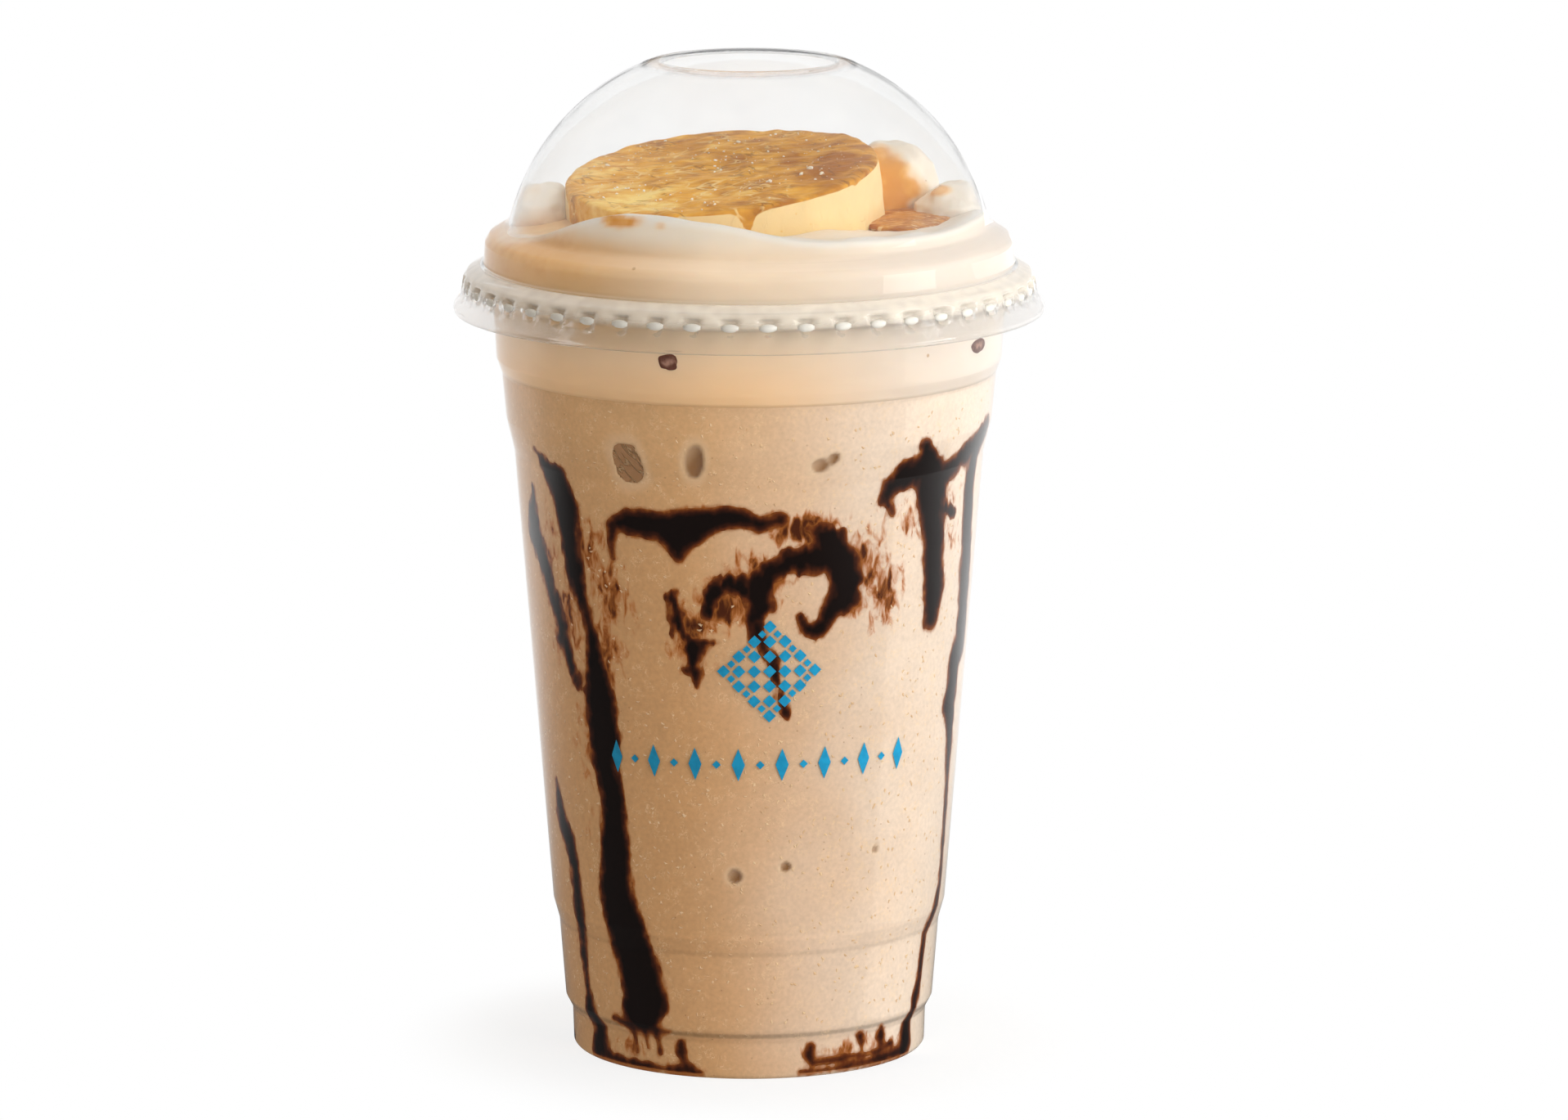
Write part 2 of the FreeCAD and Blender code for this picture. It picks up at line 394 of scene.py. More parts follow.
class Value:
    """A number that a node's socket gives. Sums on it add Math nodes."""

    def __init__(self, sheet: "Sheet", socket: Socket) -> None:
        """Wraps a socket of a sheet."""
        self.sheet = sheet
        self.socket = socket

    def math(self, operation: str, *terms: "Value | float") -> "Value":
        """Adds a Math node with its inputs in order, and gives its result."""
        return self.sheet.value("ShaderNodeMath", dict(enumerate(terms)), operation=operation)

    def __add__(self, other: "Value | float") -> "Value":
        """Adds."""
        return self.math("ADD", self, other)

    def __radd__(self, other: float) -> "Value":
        """Adds to a plain number."""
        return self.math("ADD", other, self)

    def __sub__(self, other: "Value | float") -> "Value":
        """Subtracts."""
        return self.math("SUBTRACT", self, other)

    def __rsub__(self, other: float) -> "Value":
        """Subtracts from a plain number."""
        return self.math("SUBTRACT", other, self)

    def __mul__(self, other: "Value | float") -> "Value":
        """Multiplies."""
        return self.math("MULTIPLY", self, other)

    def __rmul__(self, other: float) -> "Value":
        """Multiplies a plain number."""
        return self.math("MULTIPLY", other, self)

    def __truediv__(self, other: "Value | float") -> "Value":
        """Divides."""
        return self.math("DIVIDE", self, other)

    def size(self) -> "Value":
        """Drops the sign."""
        return self.math("ABSOLUTE", self)

    def eased(self, low: float, high: float) -> "Value":
        """Eases from 0 at the first value, which may be the larger, to 1 at the second."""
        inputs = {"Value": self, "From Min": low, "From Max": high}
        return self.sheet.value("ShaderNodeMapRange", inputs, interpolation_type="SMOOTHSTEP", clamp=True)


class Sheet:
    """A node tree being drawn."""

    def __init__(self, tree: bpy.types.NodeTree) -> None:
        """Starts on a tree."""
        self.tree = tree

    def node(self, kind: str, inputs: dict | None = None, **settings: object) -> bpy.types.Node:
        """Adds a node.

        Args:
            kind: The node's type.
            inputs: What its sockets get, by name or number: a Value or a socket to link, or a plain value.
            settings: What is set on it first; "stops" are a ramp's places and colours.

        Returns:
            The node.
        """
        made = self.tree.nodes.new(kind)
        for n, (place, colour) in enumerate(settings.pop("stops", ())):
            stops = made.color_ramp.elements
            stop = stops[n] if n < len(stops) else stops.new(place)
            stop.position = place
            stop.color = (*colour, 1.0)
        for key, setting in settings.items():
            setattr(made, key, setting)
        for key, given in (inputs or {}).items():
            given = given.socket if isinstance(given, Value) else given
            if isinstance(given, Socket):
                self.tree.links.new(given, made.inputs[key])
            else:
                made.inputs[key].default_value = given
        return made

    def out(self, kind: str, inputs: dict | None = None, **settings: object) -> Socket:
        """Adds a node and gives its first output."""
        return self.node(kind, inputs, **settings).outputs[0]

    def value(self, kind: str, inputs: dict | None = None, **settings: object) -> Value:
        """Adds a node and gives its first output as a number."""
        return Value(self, self.out(kind, inputs, **settings))

    def parts(self, vector: Socket) -> list[Value]:
        """Splits a vector into its three numbers."""
        return [Value(self, socket) for socket in self.node("ShaderNodeSeparateXYZ", {0: vector}).outputs]

    def scaled(self, vector: Socket, amount: Value | float) -> Socket:
        """Multiplies a vector or a colour by a number."""
        return self.out("ShaderNodeVectorMath", {0: vector, "Scale": amount}, operation="SCALE")


class Paint(Sheet):
    """The node tree of one material, with the steps that the finishes share."""

    def __init__(self, name: str) -> None:
        """Starts a new material."""
        self.material = bpy.data.materials.new(name)
        self.material.use_nodes = True
        super().__init__(self.material.node_tree)
        self.tree.nodes.clear()
        self.place = self.node("ShaderNodeTexCoord").outputs["Object"]

    def turned_place(self, turn: Triple, stretch: Triple) -> Socket:
        """Turns the coordinates by degrees about X, Y and Z, and draws the pattern out along each."""
        turns = [math.radians(a) for a in turn]
        first = self.out("ShaderNodeMapping", {"Vector": self.place, "Rotation": turns})
        return self.out("ShaderNodeMapping", {"Vector": first, "Scale": [1.0 / s for s in stretch]})

    def noise(
        self, size: float, detail: float = 2.0, place: Socket | None = None, bend: float = 0.0
    ) -> Value:
        """Adds soft noise.

        Args:
            size: The size of its patches in millimetres.
            detail: How many finer layers it has.
            place: Its coordinates, if they aren't the object's own.
            bend: How far it is distorted.

        Returns:
            The noise, about 0.5.
        """
        scale = 1.0 / (size * MM)
        inputs = {"Vector": place or self.place, "Scale": scale, "Detail": detail, "Distortion": bend}
        return self.value("ShaderNodeTexNoise", inputs)

    def spots(self, pitch: float, radius: float, share: float) -> Value:
        """Scatters small round spots.

        Args:
            pitch: The distance between neighbours in millimetres.
            radius: The largest spot's radius in millimetres.
            share: The share of the places that have one.

        Returns:
            1 in a spot, 0 outside.
        """
        made = self.node("ShaderNodeTexVoronoi", {"Vector": self.place, "Scale": 1.0 / (pitch * MM)})
        chance = self.parts(made.outputs["Color"])[0]
        chosen = chance.eased(share, share * 0.4)
        near = Value(self, made.outputs["Distance"])
        return (near / (chosen * (radius / pitch) + 1e-4)).eased(1.15, 0.75)

    def carried(self, name: str) -> Value:
        """Reads a value that the mesh carries."""
        return Value(self, self.node("ShaderNodeAttribute", attribute_name=name).outputs["Fac"])

    def mix(self, share: Value | float, first: object, second: object) -> Socket:
        """Mixes two colours, plain or from sockets, with a share of the second."""
        first, second = ((*c, 1.0) if isinstance(c, tuple) else c for c in (first, second))
        return self.node("ShaderNodeMix", {0: share, 6: first, 7: second}, data_type="RGBA").outputs[2]

    def ramp(self, along: Value, stops: list[tuple[float, Colour]]) -> Socket:
        """Reads a row of colours at a value."""
        return self.out("ShaderNodeValToRGB", {0: along}, stops=stops)

    def relief(self, height: Value, depth: float, strength: float = 1.0) -> Socket:
        """Makes a normal from relief: its height from 0 to 1, its depth in millimetres and its strength."""
        return self.out("ShaderNodeBump", {"Height": height, "Distance": depth * MM, "Strength": strength})

    def coated(
        self,
        colour: object,
        roughness: Value | float,
        normal: Socket | None = None,
        gloss: float = 0.5,
        more: dict | None = None,
        clear: bool = False,
    ) -> Material:
        """Ends the material as one Principled surface.

        Args:
            colour: Its base colour.
            roughness: Its roughness.
            normal: Its relief.
            gloss: Its specular level.
            more: What its other sockets get.
            clear: True where it lets lamps through.

        Returns:
            The material.
        """
        inputs = {"Base Color": colour, "Roughness": roughness, "Specular IOR Level": gloss, **(more or {})}
        if normal is not None:
            inputs["Normal"] = normal
        surface = self.out("ShaderNodeBsdfPrincipled", inputs)
        if clear:
            shadow = self.node("ShaderNodeLightPath").outputs["Is Shadow Ray"]
            through = self.out("ShaderNodeBsdfTransparent")
            surface = self.out("ShaderNodeMixShader", {0: shadow, 1: surface, 2: through})
        self.node("ShaderNodeOutputMaterial", {"Surface": surface})
        return self.material


class Recipe(Sheet):
    """A geometry node tree with named sizes, for what repeats or follows a rule."""

    def __init__(self, name: str, sizes: dict[str, float | int]) -> None:
        """Starts a tree.

        Args:
            name: The tree's name.
            sizes: Its named inputs and their values.
        """
        super().__init__(bpy.data.node_groups.new(name, "GeometryNodeTree"))
        sockets = self.tree.interface
        sockets.new_socket("Geometry", in_out="INPUT", socket_type="NodeSocketGeometry")
        sockets.new_socket("Geometry", in_out="OUTPUT", socket_type="NodeSocketGeometry")
        self.settings: dict[str, float | int] = {}
        for key, number in sizes.items():
            kind = "NodeSocketInt" if isinstance(number, int) else "NodeSocketFloat"
            made = sockets.new_socket(key, in_out="INPUT", socket_type=kind)
            self.settings[made.identifier] = number
        self.given = self.node("NodeGroupInput")

    def size(self, name: str) -> Value:
        """Gives a named input."""
        return Value(self, self.given.outputs[name])

    def attribute(self, name: str) -> Value:
        """Reads a value that the starting mesh carries."""
        return self.value("GeometryNodeInputNamedAttribute", {"Name": name}, data_type="FLOAT")

    def joined(self, x: object, y: object, z: object) -> Socket:
        """Joins three numbers to a vector."""
        return self.out("ShaderNodeCombineXYZ", {0: x, 1: y, 2: z})

    def copies(self, name: str, shape: Mesh, inputs: dict) -> Socket:
        """Sets copies of a mesh on points.

        Args:
            name: The shape's name.
            shape: The mesh.
            inputs: How they are turned and sized, and the points where they aren't the starting mesh's.

        Returns:
            The copies.
        """
        info = self.node("GeometryNodeObjectInfo", {"Object": bpy.data.objects.new(name, shape)})
        given = {"Points": self.given.outputs["Geometry"], "Instance": info.outputs["Geometry"], **inputs}
        return self.out("GeometryNodeInstanceOnPoints", given)

    def finish(self, geometry: Socket, material: Material) -> None:
        """Ends the tree with real meshes of one material."""
        real = self.out("GeometryNodeRealizeInstances", {0: geometry})
        dressed = self.out("GeometryNodeSetMaterial", {"Geometry": real, "Material": material})
        self.node("NodeGroupOutput", {0: dressed})

    def made_from(self, mesh: Mesh, name: str) -> Mesh:
        """Runs the tree on a mesh.

        Args:
            mesh: What the tree starts from.
            name: The new mesh's name.

        Returns:
            A plain mesh of the result.
        """
        base = bpy.data.objects.new(name + "_base", mesh)
        bpy.context.scene.collection.objects.link(base)
        modifier = base.modifiers.new("recipe", "NODES")
        modifier.node_group = self.tree
        for identifier, number in self.settings.items():
            modifier[identifier] = number
        seen = base.evaluated_get(bpy.context.evaluated_depsgraph_get())
        plain = bpy.data.meshes.new_from_object(seen)
        plain.name = name
        base.modifiers.remove(modifier)
        bpy.data.objects.remove(base)
        return plain


# ---------------------------------------------------------------- finishes


@dataclass(frozen=True)
class ClearSheet:
    """Clear formed plastic with the faint waves of its forming."""

    name: str = "clear_formed_sheet"
    tint: Colour = (0.985, 0.987, 0.985)
    thick_tint: Colour = (0.965, 0.968, 0.968)
    index: float = 1.46
    wave_size: float = 9.0
    wave_depth: float = 0.05
    lip: tuple[float, float] = (0.1736, 0.1741)
    lip_clear: float = 0.6
    skirt_foot: tuple[float, float] = (0.1300, 0.1312)
    skirt_head: tuple[float, float] = (0.1356, 0.1342)
    skirt_clear: float = 0.55

    def material(self) -> Material:
        """Makes the material."""
        paint = Paint(self.name)
        wave = paint.noise(self.wave_size, 1.0)
        tint = paint.mix(wave.eased(0.35, 0.65), self.tint, self.thick_tint)
        height = paint.parts(paint.place)[2]
        skirt = height.eased(*self.skirt_foot) * height.eased(*self.skirt_head)
        cover = 1.0 - height.eased(*self.lip) * self.lip_clear - skirt * self.skirt_clear
        more = {"Transmission Weight": 1.0, "IOR": self.index, "Alpha": cover}
        rough = paint.noise(2.5, 2.0) * 0.03 + 0.005
        return paint.coated(tint, rough, paint.relief(wave, self.wave_depth), more=more, clear=True)


@dataclass(frozen=True)
class DrinkFinish:
    """Blended coffee: fine ice grain, pale flecks, brown specks, stains where the syrup ran, and painted
    light and shade.
    """

    name: str = "blended_coffee"
    low: Colour = (0.66, 0.385, 0.18)
    high: Colour = (0.69, 0.43, 0.215)
    # painted light: the paler tint of the drink's right side, where the key lamp falls
    painted_light_drink: Colour = (0.84, 0.70, 0.57)
    fleck: Colour = (0.93, 0.69, 0.42)
    speck: Colour = (0.33, 0.15, 0.06)
    stain_thin: Colour = (0.50, 0.16, 0.032)
    stain_deep: Colour = (0.085, 0.020, 0.006)
    fringe: Colour = (0.39, 0.12, 0.024)
    hollow: Colour = (0.29, 0.122, 0.022)
    halo: Colour = (0.86, 0.64, 0.42)

    def material(self) -> Material:
        """Makes the material."""
        paint = Paint(self.name)
        height = paint.parts(paint.place)[2]
        base = paint.mix(height.eased(0.085, 0.121), self.low, self.high)
        # Painted light: the drink turns paler towards +X, the side that the key lamp lights.
        across = paint.parts(paint.place)[0] + (paint.noise(22.0, 1.0) - 0.5) * 0.02
        base = paint.mix(across.eased(-0.015, 0.035), base, self.painted_light_drink)
        patch = paint.noise(14.0, 2.0)
        grain = paint.noise(0.75, 3.0)
        band_place = paint.turned_place((0.0, 0.0, 0.0), (18.0, 18.0, 1.0))
        band = paint.noise(2.2, 1.0, band_place)
        level = 0.80 + patch * 0.10 + grain * 0.30 + band * height.eased(0.08, 0.118) * 0.08
        # Painted shade along the foot ledge and under the stacking step, and a painted highlight line along
        # the step's top.
        for ledge, painted_shade in ((0.0079, 0.34), (0.0228, 0.10), (0.0259, -0.07)):
            level = level - (height - ledge).size().eased(0.0007, 0.0001) * painted_shade
        base = paint.scaled(base, level)
        curl = paint.noise(1.1, 2.0, bend=1.2)
        thin_line = (curl - 0.5).size().eased(0.03, 0.008) * paint.noise(2.4, 1.0).eased(0.5, 0.62)
        base = paint.mix(thin_line * 0.5, base, self.fleck)
        base = paint.mix(paint.spots(1.6, 0.16, 0.5) * 0.45, base, self.speck)
        stain = paint.carried("stain")
        streak_place = paint.turned_place((0.0, 0.0, 0.0), (1.0, 1.0, 2.2))
        fine = paint.noise(1.5, 5.0, streak_place, bend=0.5)
        worn = stain + (fine - 0.5) * 1.7
        stain_colour = paint.mix(worn.eased(0.62, 1.05), self.stain_thin, self.stain_deep)
        base = paint.mix(worn.eased(0.40, 0.82) * stain.eased(0.02, 0.2), base, stain_colour)
        fringe = paint.carried("fringe") + (paint.noise(1.6, 3.0) - 0.5) * 0.9
        base = paint.mix(fringe.eased(0.25, 1.05) * 0.9, base, self.fringe)
        base = paint.mix(paint.carried("halo") * 0.35, base, self.halo)
        # Painted shade in the hollows left by ice and air, deeper on one side.
        base = paint.mix(paint.carried("hollow"), base, self.hollow)
        return paint.coated(base, 0.45 + grain * 0.2, paint.relief(grain, 0.05, 0.6), gloss=0.0)


@dataclass(frozen=True)
class SyrupFinish:
    """Chocolate syrup: nearly black where it is deep, red-brown and amber along its thin edges."""

    name: str = "chocolate_syrup"
    tones: tuple[tuple[float, Colour], ...] = (
        (0.0, (0.33, 0.105, 0.022)), (0.16, (0.16, 0.038, 0.009)), (0.40, (0.048, 0.012, 0.005)),
        (0.75, (0.009, 0.004, 0.003)),
    )

    def material(self) -> Material:
        """Makes the material."""
        paint = Paint(self.name)
        mottle = paint.noise(1.3, 3.0)
        depth = paint.carried("depth") * 0.5 + (mottle - 0.5) * 0.5
        colour = paint.ramp(depth, list(self.tones))
        return paint.coated(colour, 0.25 + mottle * 0.15, paint.relief(mottle, 0.04), gloss=0.0)


@dataclass(frozen=True)
class CreamFinish:
    """Smooth cream, tinted by the drink low down, with caramel where it has run, and painted light and
    shade.
    """

    name: str = "cream"
    low: Colour = (0.92, 0.61, 0.33)
    cream: Colour = (0.88, 0.70, 0.51)
    # partly a caramel tint, partly painted shade of the cream's left side
    tan: Colour = (0.76, 0.46, 0.19)
    # painted light: the paler tint of the cream's right side, where the key lamp falls
    painted_light_cream: Colour = (0.81, 0.715, 0.625)
    top: Colour = (0.86, 0.75, 0.61)
    # painted highlight along the cream's top edge against the wall
    crest: Colour = (0.90, 0.84, 0.76)
    caramel: Colour = (0.90, 0.47, 0.075)
    deep_caramel: Colour = (0.74, 0.31, 0.025)
    pit_shade: Colour = (0.50, 0.30, 0.15)

    def material(self) -> Material:
        """Makes the material."""
        paint = Paint(self.name)
        height = paint.parts(paint.place)[2]
        base = paint.mix(height.eased(0.119, 0.137), self.low, self.cream)
        across = paint.parts(paint.place)[0]
        # Tan on the left side above the neck's foot: partly a caramel tint, partly painted shade on the side
        # away from the key lamp.
        base = paint.mix(across.eased(-0.002, -0.034) * height.eased(0.127, 0.136) * 0.85, base, self.tan)
        # Painted light: the cream turns paler towards +X, the side that the key lamp lights.
        base = paint.mix(across.eased(-0.006, 0.036) * 0.9, base, self.painted_light_cream)
        base = paint.mix(height.eased(0.1455, 0.150), base, self.top)
        # Painted highlight along the crest of the cream where it meets the wall.
        base = paint.mix(paint.carried("crest") * 0.8, base, self.crest)
        swirl_place = paint.turned_place((0.0, 0.0, 0.0), (3.0, 3.0, 1.0))
        swirl = paint.noise(4.0, 2.0, swirl_place, bend=0.8)
        base = paint.scaled(base, 0.94 + swirl * 0.11)
        # Painted shade: small darker spots that stand for pits in the cream at the wall.
        base = paint.mix(paint.spots(5.0, 0.33, 0.35) * 0.7, base, self.pit_shade)
        sauce = paint.carried("caramel")
        mottle = paint.noise(2.6, 3.0)
        sauce_colour = paint.mix((mottle + sauce * 0.5).eased(0.55, 1.05), self.caramel, self.deep_caramel)
        base = paint.mix((sauce + (mottle - 0.5) * 0.22).eased(0.05, 1.0), base, sauce_colour)
        more = {
            "Coat Weight": sauce.eased(0.5, 1.0) * 0.3,
            "Coat Roughness": 0.15,
            "Subsurface Weight": 0.15,
            "Subsurface Radius": (0.6, 0.35, 0.2),
            "Subsurface Scale": 0.003,
        }
        return paint.coated(base, 0.42 - sauce * 0.22, paint.relief(swirl, 0.12, 0.7), 0.2, more)


@dataclass(frozen=True)
class CustardFinish:
    """Baked custard: pale yellow at the side, a fibrous brown sugar glaze on top, its pale fibres partly
    painted glints.
    """

    name: str = "baked_custard"
    side: Colour = (0.88, 0.65, 0.33)
    side_low: Colour = (0.84, 0.58, 0.245)
    pale: Colour = (0.94, 0.66, 0.22)
    gold: Colour = (0.78, 0.37, 0.042)
    brown: Colour = (0.42, 0.145, 0.014)
    thread_and_glint: Colour = (0.95, 0.69, 0.31)
    crack: Colour = (0.22, 0.075, 0.014)

    def threads(self, paint: Paint, turn: float, size: float, width: float) -> Value:
        """Draws a net of thin fibres, drawn out one way.

        Args:
            paint: The material being painted.
            turn: Their direction in degrees.
            size: Their spacing in millimetres.
            width: Their width as a share of it.

        Returns:
            1 on a fibre, 0 between.
        """
        place = paint.turned_place((0.0, 0.0, turn), (2.6, 1.0, 2.0))
        wave = paint.node("ShaderNodeTexNoise", {"Vector": place, "Scale": 0.6 / (size * MM), "Detail": 2.0})
        shift = paint.scaled(wave.outputs["Color"], 1.6 * size * MM)
        bent = paint.out("ShaderNodeVectorMath", {0: place, 1: shift}, operation="ADD")
        inputs = {"Vector": bent, "Scale": 1.0 / (size * MM)}
        net = paint.node("ShaderNodeTexVoronoi", inputs, feature="DISTANCE_TO_EDGE")
        gaps = paint.noise(size * 2.2, 2.0).eased(0.50, 0.64)
        return Value(paint, net.outputs["Distance"]).eased(width, width * 0.3) * gaps

    def material(self) -> Material:
        """Makes the material."""
        paint = Paint(self.name)
        tone = paint.carried("tone")
        glaze = paint.carried("glaze")
        cloud = paint.noise(5.0, 3.0, bend=0.5)
        smear_place = paint.turned_place((0.0, 0.0, 12.0), (4.0, 1.0, 2.0))
        smear = paint.noise(1.6, 3.0, smear_place, bend=0.4)
        level = tone + (cloud - 0.5) * 1.5 + (smear - 0.5) * 0.6
        top = paint.ramp(level, [(0.05, self.pale), (0.42, self.gold), (0.95, self.brown)])
        fewer = tone.eased(0.85, 0.45)
        pale_threads_and_glints = self.threads(paint, 12.0, 2.3, 0.055) * fewer
        cross_threads_and_glints = self.threads(paint, -30.0, 3.2, 0.045) * fewer
        dark_threads = self.threads(paint, 40.0, 2.0, 0.07)
        top = paint.mix(dark_threads * 0.55, top, self.crack)
        # Pale fibres of the glaze, which also stand in for its glints: partly painted highlight.
        top = paint.mix(pale_threads_and_glints * 0.75, top, self.thread_and_glint)
        top = paint.mix(cross_threads_and_glints * 0.7, top, self.thread_and_glint)
        height = paint.parts(paint.place)[2]
        side = paint.mix(height.eased(0.143, 0.152), self.side_low, self.side)
        side = paint.scaled(side, 0.93 + cloud * 0.14)
        side = paint.mix(paint.spots(2.6, 0.22, 0.4) * 0.4, side, self.gold)
        base = paint.mix((glaze + (smear - 0.5) * 0.35).eased(0.25, 0.6), side, top)
        relief = smear * 0.7 + pale_threads_and_glints * 0.3 + cross_threads_and_glints * 0.3 - dark_threads * 0.3
        more = {"Subsurface Weight": 0.12, "Subsurface Radius": (0.6, 0.35, 0.15), "Subsurface Scale": 0.003}
        rough = 0.50 - glaze * 0.12 + cloud * 0.08
        return paint.coated(base, rough, paint.relief(relief, 0.35, 0.8), 0.05, more)


@dataclass(frozen=True)
class CaramelFinish:
    """Glossy amber caramel with fine pale flecks, partly undissolved sugar and partly painted glints."""

    name: str = "caramel"
    light: Colour = (0.66, 0.27, 0.03)
    deep: Colour = (0.46, 0.14, 0.006)
    sugar_and_glint: Colour = (0.94, 0.68, 0.36)

    def material(self) -> Material:
        """Makes the material."""
        paint = Paint(self.name)
        cloud = paint.noise(3.0, 2.0)
        place = paint.turned_place((0.0, 0.0, 25.0), (3.0, 1.0, 1.0))
        crystal = paint.noise(0.6, 3.0, place)
        base = paint.mix(cloud.eased(0.35, 0.65), self.light, self.deep)
        # Pale flecks: partly undissolved sugar, partly painted glints.
        base = paint.mix(crystal.eased(0.57, 0.64) * 0.85, base, self.sugar_and_glint)
        return paint.coated(base, 0.25 + cloud * 0.1, paint.relief(crystal, 0.35, 0.8), 0.12)


@dataclass(frozen=True)
class IceFinish:
    """Clear ice with clouded cracks."""

    name: str = "ice"
    body: Colour = (0.47, 0.24, 0.10)
    cracked: Colour = (0.66, 0.43, 0.23)

    def material(self) -> Material:
        """Makes the material."""
        paint = Paint(self.name)
        place = paint.turned_place((20.0, 35.0, 10.0), (1.0, 1.0, 5.0))
        crack = (paint.noise(1.6, 3.0, place) - 0.5).size().eased(0.05, 0.0)
        tint = paint.mix(crack, self.body, self.cracked)
        more = {"Transmission Weight": 0.15, "IOR": 1.31}
        return paint.coated(tint, crack * 0.35 + 0.15, paint.relief(crack, 0.3), more=more, clear=True)


@dataclass(frozen=True)
class ChipFinish:
    """A dark frozen fruit and chocolate chip, painted paler in the middle as a highlight and darker at the
    rim as shade.
    """

    name: str = "dark_chip"
    rim: Colour = (0.15, 0.055, 0.035)
    middle: Colour = (0.50, 0.27, 0.19)

    def material(self) -> Material:
        """Makes the material."""
        paint = Paint(self.name)
        mottle = paint.noise(1.3, 3.0)
        heart = paint.carried("heart")
        # Painted light and shade: paler in the middle like a highlight, darker towards the rim like shade on
        # a round lump.
        base = paint.mix((heart + (mottle - 0.5) * 1.3).eased(0.35, 0.95), self.rim, self.middle)
        return paint.coated(base, 0.4 + mottle * 0.3, paint.relief(mottle, 0.3), 0.1)


@dataclass(frozen=True)
class FrostedSheenBand:
    """The whitish band on the lid's skirt: partly a faint frosting where the sheet is drawn thin round its
    lugs, partly a painted sheen.
    """

    name: str = "frosted_band"
    white: Colour = (0.99, 0.89, 0.76)
    thin: float = 0.28
    thick: float = 0.12

    def material(self) -> Material:
        """Makes the material."""
        paint = Paint(self.name)
        height = paint.parts(paint.place)[2]
        # A whitish veil over the skirt, partly frosting and partly painted sheen.
        cover = self.thin + paint.noise(4.0, 1.0).eased(0.3, 0.7) * self.thick
        more = {"Alpha": cover * height.eased(0.1345, 0.1366)}
        return paint.coated((*self.white, 1.0), 0.5, more=more, clear=True)


@dataclass(frozen=True)
class GrainFinish:
    """Small pale grains that all have a slightly different tone."""

    name: str
    light: Colour
    dark: Colour
    roughness: float = 0.35
    gloss: float = 0.5

    def material(self) -> Material:
        """Makes the material."""
        paint = Paint(self.name)
        tone = paint.noise(1.4, 2.0)
        colour = paint.mix(tone.eased(0.38, 0.62), self.light, self.dark)
        return paint.coated(colour, self.roughness + tone * 0.1, gloss=self.gloss)


# ---------------------------------------------------------------- cup and lid


@dataclass
class ClearCup:
    """The thin clear cup, with its foot ring, stacking ledge, grip steps and rolled rim."""

    rings: tuple[tuple[float, float], ...] = (
        (0.0, 1.8), (26.8, 1.8), (27.9, 0.0), (30.6, 0.0), (31.0, 0.5), (31.2, 6.5), (32.4, 8.8),
        (33.5, 22.5), (34.55, 26.3), (41.1, 106.4), (42.5, 112.2), (43.25, 120.2), (44.2, 122.9),
        (44.6, 130.0), (45.7, 136.0),
    )
    foot_edge: int = 4
    wall: float = 0.5
    corner: float = 0.5
    bead_radius: float = 1.65
    bead_ring: float = 47.25
    bead_height: float = 136.45
    columns: int = 288

    def __post_init__(self) -> None:
        """Works out the inside and the outside of the wall."""
        self.inner = rounded(inset(list(self.rings), self.wall), self.corner)
        side = np.array(inset(list(self.rings), self.wall)[self.foot_edge :])
        smooth = np.array(rounded([tuple(p) for p in side], self.corner))
        self.side_heights, self.side_radii = smooth[:, 1], smooth[:, 0]
        self.taper_foot, self.taper_head = self.rings[8], self.rings[9]

    def inside(self, height: Array) -> Array:
        """Gives the wall's inner radius at heights above the foot ring's bottom."""
        return np.interp(height, self.side_heights, self.side_radii)

    def outline(self) -> Line:
        """Draws the closed outline: up the outside, over the rolled rim and down the inside."""
        ring, height, radius = self.bead_ring, self.bead_height, self.bead_radius
        turns = [math.radians(angle) for angle in range(205, 511, 15)]
        bead = [(ring + radius * math.cos(a), height + radius * math.sin(a)) for a in turns]
        outer = rounded([*self.rings[:-1], (45.45, 134.8)], self.corner)
        return divided([*outer, *bead, *reversed(self.inner)], 8.0)

    def build(self, finish: ClearSheet) -> None:
        """Makes the cup."""
        azimuths = np.linspace(-180.0, 180.0, self.columns, endpoint=False)
        mesh = turned(self.outline(), azimuths).mesh("cup", finish.material())
        place_piece(mesh, ("cup",))


